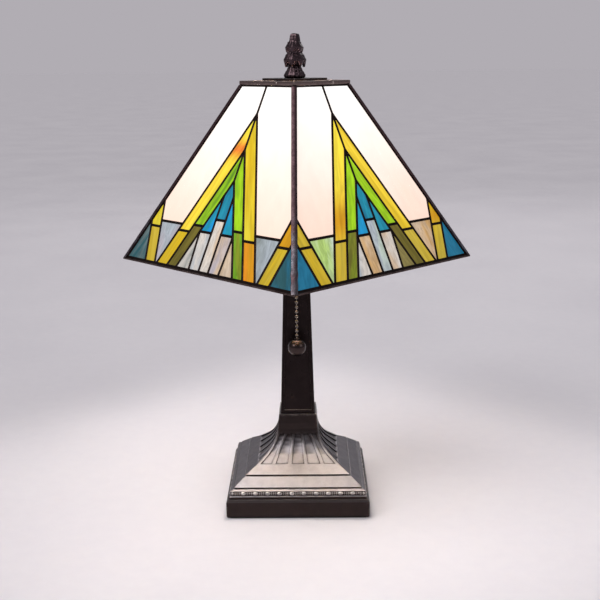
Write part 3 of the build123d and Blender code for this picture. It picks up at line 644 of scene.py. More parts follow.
GREEN_FELT = PlainFinish(
    "green_felt", (38, 52, 42), (58, 74, 60), roughness=0.95, fine=2600, coarse=320, grain_depth=0.0004,
    sheen=0.5
)
DARK_NYLON = PlainFinish("dark_nylon", (30, 26, 25), (40, 35, 33), roughness=0.42)
PHENOLIC = PlainFinish("phenolic", (34, 28, 28), (48, 38, 36), roughness=0.3, coarse=300)
FIBRE_CARD = PlainFinish(
    "fibre_card", (120, 96, 70), (150, 124, 92), roughness=0.8, fine=1500, grain_depth=0.0001
)
FROSTED = PlainFinish(
    "frosted_bulb", (255, 246, 226), (255, 250, 238), roughness=0.55, fine=3000, grain_depth=0.00002, glow=6.0
)


# ------------------------------------------------------------------ glass colours
class Tint(Enum):
    """Named colours of the lit glass, as display values."""

    WARM_WHITE = (255, 253, 249)
    ROSE_WHITE = (250, 218, 200)
    LEMON = (232, 218, 62)
    SUN = (238, 206, 58)
    GOLD = (208, 174, 24)
    HONEY = (204, 146, 16)
    ORANGE = (234, 144, 26)
    RUST = (220, 116, 40)
    BARK = (128, 116, 66)
    MUSTARD = (196, 172, 58)
    LIME = (150, 196, 22)
    LEAF = (104, 160, 28)
    MOSS = (66, 120, 32)
    OLIVE = (120, 134, 30)
    UMBER = (104, 94, 32)
    TEAL = (26, 134, 158)
    AZURE = (22, 142, 206)
    OCEAN = (26, 106, 138)
    DEEP_SEA = (40, 84, 92)
    PEARL = (204, 196, 188)
    SILVER = (160, 168, 176)
    SLATE = (124, 132, 130)
    LILAC = (170, 162, 170)
    SAND = (196, 172, 146)
    TAN = (190, 150, 96)
    MIST = (188, 202, 184)
    SPROUT = (170, 198, 112)

    @property
    def colour(self) -> Colour:
        """The tint as a linear colour."""
        return linear(*self.value)


class Family(Enum):
    """The glass sheets that the panes are cut from, by the name of their CAD pieces."""

    IVORY = "ivory_glass"
    AMBER = "amber_glass"
    GREEN = "green_glass"
    TEAL = "teal_glass"
    OPAL = "opal_glass"


@dataclass(frozen=True)
class Pane:
    """One piece of glass: where it is in the drawing and what it is cut from."""

    key: str
    family: Family
    outline: tuple[Point2, ...]
    lean: float

    def mirrored(self) -> "Pane":
        """The same pane on the other half of the panel."""
        outline = tuple((-across, down) for across, down in reversed(self.outline))
        return Pane(self.key + "_left", self.family, outline, -self.lean)


USUAL_TINTS: dict[str, tuple[Tint, Tint]] = {
    "ivory": (Tint.WARM_WHITE, Tint.ROSE_WHITE),
    "strip_upper": (Tint.LEMON, Tint.SUN),
    "strip_lower": (Tint.MUSTARD, Tint.GOLD),
    "corner_upper": (Tint.GOLD, Tint.HONEY),
    "corner_lower": (Tint.GOLD, Tint.MUSTARD),
    "leaf_upper": (Tint.LIME, Tint.LEAF),
    "leaf_lower": (Tint.OLIVE, Tint.UMBER),
    "kite": (Tint.TEAL, Tint.OCEAN),
    "spear": (Tint.TEAL, Tint.AZURE),
    "corner_foot": (Tint.OCEAN, Tint.DEEP_SEA),
    "bar": (Tint.PEARL, Tint.LILAC),
    "bar_side": (Tint.SILVER, Tint.PEARL),
    "bar_wedge": (Tint.PEARL, Tint.SLATE),
    "field_wedge": (Tint.SILVER, Tint.SLATE),
}
OWN_TINTS: dict[str, dict[str, tuple[Tint, Tint]]] = {
    "front_left": {
        "strip_upper": (Tint.LEMON, Tint.GOLD),
        "strip_upper_left": (Tint.LEMON, Tint.SUN),
        "strip_lower": (Tint.ORANGE, Tint.HONEY),
        "strip_lower_left": (Tint.GOLD, Tint.MUSTARD),
        "corner_upper": (Tint.HONEY, Tint.HONEY),
        "corner_upper_left": (Tint.LEMON, Tint.GOLD),
        "corner_foot_left": (Tint.DEEP_SEA, Tint.SLATE),
        "leaf_upper_left": (Tint.LIME, Tint.MOSS),
        "leaf_lower": (Tint.OLIVE, Tint.LEAF),
        "leaf_lower_left": (Tint.UMBER, Tint.UMBER),
        "spear": (Tint.AZURE, Tint.TEAL),
        "bar": (Tint.PEARL, Tint.SAND),
        "bar_side": (Tint.LILAC, Tint.SAND),
        "bar_side_left": (Tint.SILVER, Tint.PEARL),
        "bar_wedge": (Tint.SAND, Tint.PEARL),
        "bar_wedge_left": (Tint.PEARL, Tint.SLATE),
        "field_wedge": (Tint.SLATE, Tint.SILVER),
        "field_wedge_left": (Tint.LILAC, Tint.SILVER),
    },
    "front_right": {
        "strip_upper": (Tint.SUN, Tint.GOLD),
        "strip_upper_left": (Tint.LEMON, Tint.SUN),
        "corner_upper": (Tint.GOLD, Tint.MUSTARD),
        "leaf_upper": (Tint.LIME, Tint.LIME),
        "leaf_lower": (Tint.UMBER, Tint.UMBER),
        "leaf_lower_left": (Tint.OLIVE, Tint.UMBER),
        "spear": (Tint.TEAL, Tint.OCEAN),
        "spear_left": (Tint.TEAL, Tint.AZURE),
        "bar": (Tint.SILVER, Tint.MIST),
        "bar_side": (Tint.SAND, Tint.PEARL),
        "bar_side_left": (Tint.TAN, Tint.SAND),
        "bar_wedge": (Tint.BARK, Tint.BARK),
        "bar_wedge_left": (Tint.PEARL, Tint.SILVER),
        "field_wedge": (Tint.SAND, Tint.TAN),
        "field_wedge_left": (Tint.MIST, Tint.SPROUT),
        "corner_foot": (Tint.OCEAN, Tint.OCEAN),
    },
    "back_right": {
        "strip_upper": (Tint.SUN, Tint.GOLD),
        "strip_lower_left": (Tint.HONEY, Tint.ORANGE),
        "leaf_upper": (Tint.LEAF, Tint.LIME),
        "bar_side": (Tint.LILAC, Tint.SILVER),
        "field_wedge": (Tint.MIST, Tint.SILVER),
    },
    "back_left": {
        "strip_upper_left": (Tint.LEMON, Tint.ORANGE),
        "corner_upper_left": (Tint.ORANGE, Tint.HONEY),
        "leaf_lower": (Tint.OLIVE, Tint.MOSS),
        "bar": (Tint.SAND, Tint.PEARL),
        "field_wedge_left": (Tint.SAND, Tint.PEARL),
    },
}
BLUSHES: dict[tuple[str, str], tuple[Tint, float, float]] = {
    ("front_left", "strip_upper_left"): (Tint.RUST, 66.0 * MM, 9.0 * MM),
    ("front_right", "strip_upper_left"): (Tint.HONEY, 136.0 * MM, 22.0 * MM),
    ("front_right", "corner_upper"): (Tint.HONEY, 146.0 * MM, 8.0 * MM),
    ("back_left", "strip_upper"): (Tint.ORANGE, 90.0 * MM, 20.0 * MM),
}
FINISHES: dict[Family, GlassFinish] = {
    Family.IVORY: GlassFinish("ivory_sheet", 14, 0.5, 0.0, 1.02, 0.78, 0.14, 0.0002, 0.03, 0.35),
    Family.AMBER: GlassFinish("amber_sheet", 48, 0.12, 0.45, 1.02, 0.7, 0.14, 0.0004, 0.18, 0.3),
    Family.GREEN: GlassFinish("green_sheet", 60, 0.18, 0.6, 1.08, 0.72, 0.14, 0.0004, 0.24, 0.3),
    Family.TEAL: GlassFinish("teal_sheet", 60, 0.25, 0.5, 1.05, 0.8, 0.14, 0.0004, 0.2, 0.3),
    Family.OPAL: GlassFinish("opal_sheet", 58, 0.3, 0.5, 1.05, 0.74, 0.16, 0.0004, 0.22, 0.35),
}


# ------------------------------------------------------------------ the shade
@dataclass
class PanelShape:
    """Where a flat panel of the shade lies, from the sizes of the frame and the rim."""

    top_half: float
    rim_half: float
    top_z: float
    rim_z: float
    thickness: float = 5.0 * MM

    @property
    def slant(self) -> float:
        """Length of the slope."""
        return math.hypot(self.rim_half - self.top_half, self.top_z - self.rim_z)

    @property
    def widening(self) -> float:
        """How much the half width grows with distance down the slope."""
        return (self.rim_half - self.top_half) / self.slant

    def at(self, across: float, down: float, depth: float, turn_deg: float) -> Vector:
        """A point of a panel.

        Args:
            across: distance from the panel's middle line.
            down: distance down the slope from its top edge.
            depth: distance below its outer face.
            turn_deg: how far the panel is turned from the front.
        Returns:
            The point in the row frame.
        """
        lean = self.widening
        fall = (self.top_z - self.rim_z) / self.slant
        flat = Vector((across, -self.top_half - lean * down, self.top_z - fall * down))
        inward = Vector((0.0, fall, -lean))
        return Matrix.Rotation(math.radians(turn_deg), 3, "Z") @ (flat + inward * depth)


@dataclass
class GlassDrawing:
    """The drawing of one panel's glass, in metres from the middle of its top edge."""

    top_half: float
    widening: float
    hip_margin: float = 3.4 * MM
    foot: float = 192.0 * MM
    tent_slope: float = 0.448
    outer_apex: float = 29.0 * MM
    middle_apex: float = 66.5 * MM
    inner_apex: float = 98.7 * MM
    ivory_foot: float = 148.5 * MM
    green_break: float = 147.5 * MM
    amber_break: float = 155.0 * MM
    teal_foot: float = 153.0 * MM
    kite_foot: float = 139.0 * MM
    kite_half: float = 7.0 * MM
    side_foot: float = 22.0 * MM
    corner_peak: float = 128.0 * MM
    corner_lean: float = 0.267
    corner_width: float = 15.8 * MM

    def edge(self, down: float) -> float:
        """Half the width of the glass at a distance down."""
        return self.top_half - self.hip_margin + self.widening * down

    def tent(self, apex: float, down: float) -> float:
        """How far out the tent line from an apex has come."""
        return self.tent_slope * (down - apex)

    def corner(self, down: float, width: float = 0.0) -> float:
        """How far out the corner strip's outer line is, or its inner line a width away."""
        return self.edge(self.corner_peak) - self.corner_lean * (down - self.corner_peak) + width

    def panes(self) -> list[Pane]:
        """Every pane of a panel."""
        shoulder = self.inner_apex + self.kite_half / self.tent_slope
        teal_peak = self.corner_peak + self.corner_width / (self.widening + self.corner_lean)
        foot, kite, wide = self.foot, self.kite_half, self.corner_width
        outer, middle, inner = self.outer_apex, self.middle_apex, self.inner_apex
        tent, corner, edge = self.tent, self.corner, self.edge
        amber, green, teal, ivory = self.amber_break, self.green_break, self.teal_foot, self.ivory_foot
        leaning = math.degrees(math.atan(self.tent_slope))
        corner_leaning = -math.degrees(math.atan(self.corner_lean))
        half = [
            Pane("ivory", Family.IVORY, (
                (0, 0), (edge(0), 0), (edge(self.corner_peak), self.corner_peak), (corner(ivory), ivory),
                (tent(outer, ivory), ivory), (0, outer)), 14),
            Pane("strip_upper", Family.AMBER, (
                (0, outer), (tent(outer, amber), amber), (tent(middle, amber), amber), (0, middle)), leaning),
            Pane("strip_lower", Family.AMBER, (
                (tent(middle, amber), amber), (tent(outer, amber), amber), (tent(outer, foot), foot),
                (tent(middle, foot), foot)), leaning),
            Pane("corner_upper", Family.AMBER, (
                (edge(self.corner_peak), self.corner_peak), (edge(teal_peak), teal_peak),
                (corner(amber, wide), amber), (corner(amber), amber)), corner_leaning),
            Pane("corner_lower", Family.AMBER, (
                (corner(amber), amber), (corner(amber, wide), amber), (corner(foot, wide), foot),
                (corner(foot), foot)), corner_leaning),
            Pane("leaf_upper", Family.GREEN, (
                (0, middle), (tent(middle, green), green), (tent(inner, green), green), (0, inner)), leaning),
            Pane("leaf_lower", Family.GREEN, (
                (tent(inner, green), green), (tent(middle, green), green), (tent(middle, foot), foot),
                (tent(inner, foot), foot)), leaning),
            Pane("spear", Family.TEAL, (
                (kite, shoulder), (tent(inner, teal), teal), (kite, teal)), leaning / 2),
            Pane("corner_foot", Family.TEAL, (
                (edge(teal_peak), teal_peak), (edge(foot), foot), (corner(foot, wide), foot)), 20),
            Pane("bar_side", Family.OPAL, (
                (kite, teal), (tent(inner, teal), teal), (self.side_foot, foot), (kite, foot)), 0),
            Pane("bar_wedge", Family.OPAL, (
                (tent(inner, teal), teal), (tent(inner, foot), foot), (self.side_foot, foot)), 12),
            Pane("field_wedge", Family.OPAL, (
                (tent(outer, ivory), ivory), (corner(ivory), ivory), (corner(foot), foot),
                (tent(outer, foot), foot)), 5),
        ]
        middle_panes = [
            Pane("kite", Family.TEAL, (
                (0, inner), (kite, shoulder), (kite, self.kite_foot), (-kite, self.kite_foot),
                (-kite, shoulder)), 0),
            Pane("bar", Family.OPAL, (
                (kite, self.kite_foot), (kite, foot), (-kite, foot), (-kite, self.kite_foot)), 0),
        ]
        return half + [pane.mirrored() for pane in half] + middle_panes


def drawn_in(outline: Sequence[Point2], insets: Sequence[float]) -> list[Vector]:
    """Moves the sides of a convex outline inward.

    Args:
        outline: its corners in order.
        insets: how far each side moves, by its first corner.
    Returns:
        The corners of the smaller outline, in the same order.
    """
    corners = [Vector(point) for point in outline]
    centre = sum(corners, Vector((0.0, 0.0))) / len(corners)
    sides = []
    for k, start in enumerate(corners):
        along = (corners[(k + 1) % len(corners)] - start).normalized()
        normal = Vector((-along.y, along.x))
        if (centre - start).dot(normal) < 0:
            normal = -normal
        sides.append((start + normal * insets[k], along))
    moved = []
    for k in range(len(corners)):
        (p, d), (q, e) = sides[k - 1], sides[k]
        cross = d.x * e.y - d.y * e.x
        reach = ((q.x - p.x) * e.y - (q.y - p.y) * e.x) / cross
        moved.append(p + d * reach)
    return moved


@dataclass
class LeadedShade:
    """The shade: panes, lead lattices, corner seams, rim, top frame and spider."""

    frame: dict
    shape: PanelShape = field(init=False)
    drawing: GlassDrawing = field(init=False)
    heart: float = 0.5 * MM
    cover: float = 1.4 * MM
    edge_cover: float = 0.9 * MM
    flange: float = 1.0 * MM
    seat: float = 0.04 * MM
    glass_thick: float = 3.0 * MM
    cell: float = 4.0 * MM
    first_turn: float = 45.0
    places: tuple[str, ...] = ("front_right", "back_right", "back_left", "front_left")

    def __post_init__(self) -> None:
        """Reads the shade's sizes from the CAD frame and rim."""
        rim_low, rim_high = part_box("rim_band")
        top_low, top_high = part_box("top_frame")
        corner_to_half = 1 / math.sqrt(2)
        self.shape = PanelShape(
            top_half=top_high.x * corner_to_half, rim_half=rim_high.x * corner_to_half,
            top_z=top_low.z - 0.5 * MM, rim_z=rim_low.z,
        )
        self.drawing = GlassDrawing(self.shape.top_half, self.shape.widening)

    def turn(self, place: str) -> float:
        """How far a panel is turned from the front, in degrees."""
        return self.first_turn + 90.0 * self.places.index(place)

    def build(self) -> None:
        """Builds and dresses every part of the shade."""
        panes = self.drawing.panes()
        sheets = {family: finish.material() for family, finish in FINISHES.items()}
        lead = LEAD_LINE.material()
        for place in self.places:
            for family in Family:
                piece = self.pane_mesh(place, family, [pane for pane in panes if pane.family is family])
                install(piece, sheets[family], "shade", f"{place}_{family.value}")
            install(self.lattice(place, panes), lead, "shade", f"{place}_lead")
            log.info("panel %s: panes and lead", place)
        install(self.seams(), HIP_LINE.material(), "shade", "hip_solder")
        strips = ("rim_band", RIM_STRIP, 7.0 * MM, False), ("top_frame", FRAME_STRIP, 4.0 * MM, True)
        for node, finish, width, dots in strips:
            install(self.strip(node, width, dots), finish.material(), "shade", node)
        carry_over(self.frame, RIM_STRIP.material(), 0.3 * MM, "shade_spider")
        log.info("corner seams, rim, top frame and spider")

    def strip(self, node: str, width: float, dots: bool) -> Piece:
        """Builds a square strip with eased edges and a hand-finished, slightly uneven outer face.

        Args:
            node: the CAD strip it stands for.
            width: how far it reaches inward.
            dots: whether a drop of solder sits on each side.
        Returns:
            The strip.
        """
        low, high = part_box(node)
        half, rise = high.x / math.sqrt(2), high.z - low.z
        ease = 0.12 * rise + 0.1 * MM
        nip = 0.3 * ease
        section = [(width, 0.0), (ease, 0.0), (nip, nip), (0.0, ease), (0.0, rise - ease), (nip, rise - nip),
                   (ease, rise), (width, rise)]
        made = bmesh.new()
        steps = 48
        spins = [Matrix.Rotation(math.radians(self.first_turn + 90 * side), 4, "Z") for side in range(4)]
        rings = []
        for side, spin in enumerate(spins):
            for run in (2 * k / steps - 1 for k in range(steps)):
                ring = []
                for inset, up in section:
                    spot = Vector((run * (half - inset), -(half - inset), low.z + up))
                    uneven = 0.09 * MM * (1 + wander(spot, 9 * MM, side + 2.0)) * (1 - run * run)
                    ring.append(spin @ (spot + Vector((0.0, uneven if inset < width else 0.0, 0.0))))
                rings.append(ring)
        loft(made, rings + rings[:1], caps=False)
        bmesh.ops.remove_doubles(made, verts=made.verts, dist=0.001 * MM)
        for spin in spins if dots else ():
            place = spin @ Matrix.Translation((14.5 * MM, -half + 0.25 * MM, low.z + 0.5 * rise))
            sizes = Matrix.Diagonal((0.9 * MM, 0.75 * MM, 1.25 * MM, 1.0))
            bmesh.ops.create_icosphere(made, subdivisions=3, radius=1.0, matrix=place @ sizes)
        return mesh_object(f"{node}_strip", made, sharp_deg=50)

    def pane_mesh(self, place: str, family: Family, panes: Iterable[Pane]) -> Piece:
        """Builds the panes of one colour on one panel, each gently uneven like rolled glass.

        Args:
            place: the panel.
            family: the sheet they are cut from.
            panes: the panes.
        Returns:
            One object with every such pane.
        """
        made = bmesh.new()
        tint_a = made.verts.layers.float_color.new("tint_a")
        tint_b = made.verts.layers.float_color.new("tint_b")
        grain = made.verts.layers.float_vector.new("grain")
        turn = self.turn(place)
        own = OWN_TINTS.get(place, {})
        for index, pane in enumerate(panes):
            base_key = pane.key.removesuffix("_left")
            first, second = own.get(pane.key) or own.get(base_key) or USUAL_TINTS[base_key]
            seed = 3.1 * index + 11.0 * self.places.index(place) + 0.7
            blush = BLUSHES.get((place, pane.key))
            one = bmesh.new()
            outline = drawn_in(pane.outline, [self.heart] * len(pane.outline))
            one.faces.new([one.verts.new((p.x, -p.y, 0.0)) for p in outline])
            self.cut_grid(one, self.cell if family is not Family.IVORY else 2 * self.cell)
            skin = bmesh.ops.extrude_face_region(one, geom=list(one.faces))
            for vert in (g for g in skin["geom"] if isinstance(g, bmesh.types.BMVert)):
                vert.co.z = -self.glass_thick
            lean = math.radians(pane.lean)
            along = Vector((math.sin(lean), math.cos(lean)))
            lookup = {}
            for vert in one.verts:
                flat = Vector((vert.co.x, -vert.co.y, 0.0))
                folds = [edge.calc_face_angle(0.0) for edge in vert.link_edges if len(edge.link_faces) == 2]
                rim = any(fold > 1.0 for fold in folds)
                swell = 0.0 if rim else 0.09 * MM * wander(flat, 11 * MM, seed)
                depth = self.flange - vert.co.z + (swell if vert.co.z < -MM else -swell)
                new = made.verts.new(self.shape.at(flat.x, flat.y, depth, turn))
                lookup[vert] = new
                fade = flat.y / self.drawing.foot if family is Family.IVORY else 0.0
                start, end = Vector(first.colour), Vector(second.colour)
                near = start.lerp(end, min(1.0, 1.25 * fade))
                far = start.lerp(end, min(1.0, 1.7 * fade)) if fade else end
                if blush:
                    warmth = math.exp(-(((flat.y - blush[1]) / blush[2]) ** 2))
                    near, far = (tone.lerp(Vector(blush[0].colour), warmth) for tone in (near, far))
                new[tint_a] = (*near, 1.0)
                new[tint_b] = (*far, 1.0)
                run = flat.x * along.x + flat.y * along.y
                side = flat.x * along.y - flat.y * along.x
                new[grain] = Vector((run + seed * 0.05, side + seed * 0.03, depth + seed * 0.02))
            for face in one.faces:
                made.faces.new([lookup[vert] for vert in face.verts])
            one.free()
        return mesh_object(f"{place}_{family.value.replace('glass', 'panes')}", made)

    @staticmethod
    def cut_grid(made: BMesh, step: float) -> None:
        """Cuts a flat face into cells along X and Y.

        Args:
            made: the mesh, flat in XY.
            step: the cells' size.
        """
        for axis in (0, 1):
            values = [vert.co[axis] for vert in made.verts]
            low, high = min(values), max(values)
            count = max(1, round((high - low) / step))
            for k in range(1, count):
                place = Vector((0.0, 0.0, 0.0))
                place[axis] = low + (high - low) * k / count
                normal = Vector((0.0, 0.0, 0.0))
                normal[axis] = 1.0
                geometry = list(made.verts) + list(made.edges) + list(made.faces)
                bmesh.ops.bisect_plane(made, geom=geometry, plane_co=place, plane_no=normal)

    def lattice(self, place: str, panes: Sequence[Pane]) -> Piece:
        """Builds the lead of a panel: an H-shaped came round every pane, domed and slightly lumpy.

        Args:
            place: the panel.
            panes: every pane of the panel.
        Returns:
            The lattice, one closed mesh.
        """
        joints, turn, seed = self.joints(panes), self.turn(place), 5.0 + self.places.index(place)
        made = bmesh.new()
        whole = 2 * self.flange + self.glass_thick
        for pane in panes:
            corners = [Vector(point) for point in pane.outline]
            window = drawn_in(pane.outline, self.covers(pane))
            rings = []
            for k, start in enumerate(corners):
                after = (k + 1) % len(corners)
                for ridge in self.split(start, corners[after], joints):
                    shore = nearest_on(ridge, window[k], window[after])
                    lift = self.lift(ridge, joints, seed)
                    ring = []
                    for share in (0.0, 0.3, 0.58, 0.82, 1.0):
                        rise = self.flange * lift * math.sqrt(max(0.0, 1 - share * share))
                        gap = self.seat if share == 1.0 else 0.0
                        ring.append((ridge.lerp(shore, share), self.flange - rise + gap))
                    ring.append((ridge.lerp(shore, self.heart / self.cover * 0.9), self.flange + self.seat))
                    ring += [(spot, whole - depth) for spot, depth in reversed(ring)]
                    rings.append([self.shape.at(spot.x, spot.y, depth, turn) for spot, depth in ring])
            loft(made, rings + rings[:1], closed=False, caps=False)
        self.margin(made, joints, turn, seed)
        bmesh.ops.remove_doubles(made, verts=made.verts, dist=0.02 * MM)
        return mesh_object(f"{place}_lead_lines", made, sharp_deg=60)

    def lift(self, point: Vector, joints: Sequence[Vector], seed: float) -> float:
        """How high the lead stands at a point of the drawing, as a share of its flange: most at a joint."""
        near = min((point - joint).length for joint in joints)
        rise = 0.72 + 0.26 * math.exp(-((near / (3.5 * MM)) ** 2))
        return min(1.0, rise + 0.03 * wander(Vector((point.x, point.y, 0.0)), 9 * MM, seed))

    def covers(self, pane: Pane) -> list[float]:
        """How far the lead comes over each side of a pane: less where it meets the seams and the rim."""
        drawing, covers = self.drawing, []
        for k, start in enumerate(pane.outline):
            end = pane.outline[(k + 1) % len(pane.outline)]
            on_side = all(abs(abs(across) - drawing.edge(down)) < 0.1 * MM for across, down in (start, end))
            on_foot = all(abs(down - drawing.foot) < 0.1 * MM for _, down in (start, end))
            on_top = all(abs(down) < 0.1 * MM for _, down in (start, end))
            covers.append(self.edge_cover if on_side or on_foot or on_top else self.cover)
        return covers

    def margin(self, made: BMesh, joints: Sequence[Vector], turn: float, seed: float) -> None:
        """Adds the flat lead between the outermost panes and the seams, rim and frame.

        Args:
            made: the lattice's mesh.
            joints: where the drawing's lines meet.
            turn: the panel's turn, in degrees.
            seed: the panel's own place in the noise.
        """
        top, side, foot = self.drawing.edge(0), self.drawing.edge(self.drawing.foot), self.drawing.foot
        loop = [Vector(corner) for corner in ((-top, 0), (top, 0), (side, foot), (-side, foot))]
        past_top, past_foot = Vector((2.4 * MM, 0.7 * MM)), Vector((3.0 * MM, 2.2 * MM))
        outer = [loop[0] - past_top, loop[1] + Vector((past_top.x, -past_top.y)), loop[2] + past_foot,
                 loop[3] + Vector((-past_foot.x, past_foot.y))]
        whole = 2 * self.flange + self.glass_thick
        rings = []
        for k, start in enumerate(loop):
            end, low, high = loop[(k + 1) % 4], outer[k], outer[(k + 1) % 4]
            for point in self.split(start, end, joints):
                out = low.lerp(high, (point - start).length / (end - start).length)
                depth = self.flange * (1 - self.lift(point, joints, seed))
                row = [(point, depth), (out, depth), (out, whole - depth), (point, whole - depth)]
                rings.append([self.shape.at(spot.x, spot.y, down, turn) for spot, down in row])
        loft(made, rings + rings[:1], closed=False, caps=False)

    def split(self, start: Vector, end: Vector, joints: Sequence[Vector]) -> list[Vector]:
        """Points along a line of the drawing, from its start up to but without its end.

        Args:
            start, end: the line.
            joints: where lines meet; those on this line are among the points.
        Returns:
            The points, no further apart than a cell.
        """
        along = end - start
        length = along.length
        stops = [0.0, 1.0]
        for joint in joints:
            share = (joint - start).dot(along) / (length * length)
            off = (joint - (start + along * share)).length
            if 0.001 < share < 0.999 and off < 0.15 * MM:
                stops.append(share)
        stops.sort()
        points = []
        for low, high in zip(stops, stops[1:]):
            count = max(1, math.ceil((high - low) * length / self.cell))
            points += [start + along * (low + (high - low) * k / count) for k in range(count)]
        return points

    @staticmethod
    def joints(panes: Iterable[Pane]) -> list[Vector]:
        """The corners of all panes, each once."""
        found: list[Vector] = []
        for pane in panes:
            for point in pane.outline:
                spot = Vector(point)
                if all((spot - other).length > 0.05 * MM for other in found):
                    found.append(spot)
        return found

    def seams(self) -> Piece:
        """Builds the four solder seams down the corners: smooth above, wide and lumpy near the rim."""
        made = bmesh.new()
        bare_solder_and_highlight = made.verts.layers.float.new("bare_solder_and_highlight")
        steps, arc, root = 110, 12, 4.6 * MM
        rim_top, frame_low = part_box("rim_band")[1].z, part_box("top_frame")[0].z
        shape = self.shape
        for corner in range(4):
            spin = Matrix.Rotation(math.radians(self.first_turn + 45 + 90 * corner), 3, "Z")
            rings = []
            for share in (k / steps for k in range(steps + 1)):
                height = frame_low + (rim_top - frame_low) * share
                slope = (shape.top_z - height) / (shape.top_z - shape.rim_z)
                reach = (shape.top_half + slope * (shape.rim_half - shape.top_half)) * math.sqrt(2)
                rough = max(0.0, (share - 0.55) / 0.45)
                lump = 1.0 + (0.03 + 0.2 * rough) * wander(Vector((0.0, 0.0, height)), 5.0 * MM, 3.0 * corner)
                side = (2.75 + 0.5 * rough) * MM * lump
                out = (0.85 + 0.1 * rough) * MM * min(1.05, lump)
                ring = []
                for j in range(arc + 1):
                    angle = math.pi * (j / arc - 0.5)
                    ragged = 1 + 0.07 * rough * wander(Vector((j * 0.004, 0.0, height)), 3 * MM, corner)
                    bulge = out * math.cos(angle) * ragged
                    ring.append(Vector((reach + bulge, side * math.sin(angle), height)))
                ring += [Vector((reach - root, across, height)) for across in (0.3 * MM, -0.3 * MM)]
                rings.append([spin @ point for point in ring])
            loft(made, rings)
        # Marks the seams near the rim for a lighter silver: bare solder, and a painted highlight on the
        # lumps.
        for vert in made.verts:
            share = (vert.co.z - frame_low) / (rim_top - frame_low)
            patchy = 0.5 + 0.9 * wander(vert.co, 7 * MM, 4.0)
            vert[bare_solder_and_highlight] = max(0.0, min(1.0, (share - 0.6) / 0.2)) * max(0.0, min(1.0, patchy))
        return mesh_object("corner_seams", made, sharp_deg=70)


def nearest_on(point: Vector, start: Vector, end: Vector) -> Vector:
    """The point of a stretch of line that is nearest to another point."""
    along = end - start
    if along.length_squared < 1e-12:
        return start
    share = max(0.0, min(1.0, (point - start).dot(along) / along.length_squared))
    return start + along * share


# ------------------------------------------------------------------ foot and column
@dataclass
class Foot:
    """The stepped, fluted foot with its bead moulding, felt, bushing and column."""

    frame: dict
    bead_height: float = 26.0 * MM
    band_half: float = 69.2 * MM
    period: float = 12.5 * MM

    def build(self) -> None:
        """Dresses the CAD pieces and adds the moulding."""
        frame, column = self.frame, COLUMN_BRONZE.material()
        carry_over(frame, FOOT_BRONZE.material(), 0.45 * MM, "base_casting")
        carry_over(frame, column, 0.35 * MM, "column")
        carry_over(frame, column, 0.4 * MM, "column_cap")
        carry_over(frame, GREEN_FELT.material(), 0.25 * MM, "felt_pad")
        carry_over(frame, DARK_NYLON.material(), 0.4 * MM, "cord_bushing")
        carry_over(frame, WEIGHT_IRON.material(), 0.0, "base_weight")
        fasteners = "lock_washer", "rod_nut", "threaded_rod", "terminal_screws"
        carry_over(frame, ZINC_STEEL.material(), 0.2 * MM, *fasteners)
        install(self.moulding(), LIT_MOULDING_BRONZE.material(), "stand")
        log.info("foot, moulding and column")

    def bulge(self, run: float) -> float:
        """Radius of the bead-and-reel moulding at a distance along its period: one bead, then three reels."""
        half = self.period / 2
        bead = 3.0 * MM
        spot = abs((run + half) % self.period - half)
        if spot < bead:
            return 2.1 * MM * math.sqrt(max(0.08, 1 - (spot / (bead + 0.1 * MM)) ** 2))
        reel = math.cos(math.tau * 1.5 * (spot - half) / (half - bead))
        return (1.15 + 0.75 * max(-0.7, reel)) * MM

    def moulding(self) -> Piece:
        """Builds the beads and reels round the four sides of the band."""
        made = bmesh.new()
        length = 2 * (self.band_half - 0.8 * MM)
        periods = round(length / self.period)
        stretch = length / (periods * self.period)
        steps, arc = periods * 44, 8
        for side in range(4):
            spin = Matrix.Rotation(math.radians(90 * side), 3, "Z")
            rings = []
            for k in range(steps + 1):
                run = length * k / steps
                radius = min(self.bulge(run / stretch), 0.9 * MM + min(run, length - run))
                ring = []
                for j in range(arc + 1):
                    angle = math.pi * (j / arc - 0.5)
                    out = self.band_half - 0.9 * MM + radius * math.cos(angle)
                    ring.append(Vector((run - length / 2, -out, self.bead_height + radius * math.sin(angle))))
                rings.append([spin @ point for point in ring])
            loft(made, rings)
        return mesh_object("bead_moulding", made, sharp_deg=55)


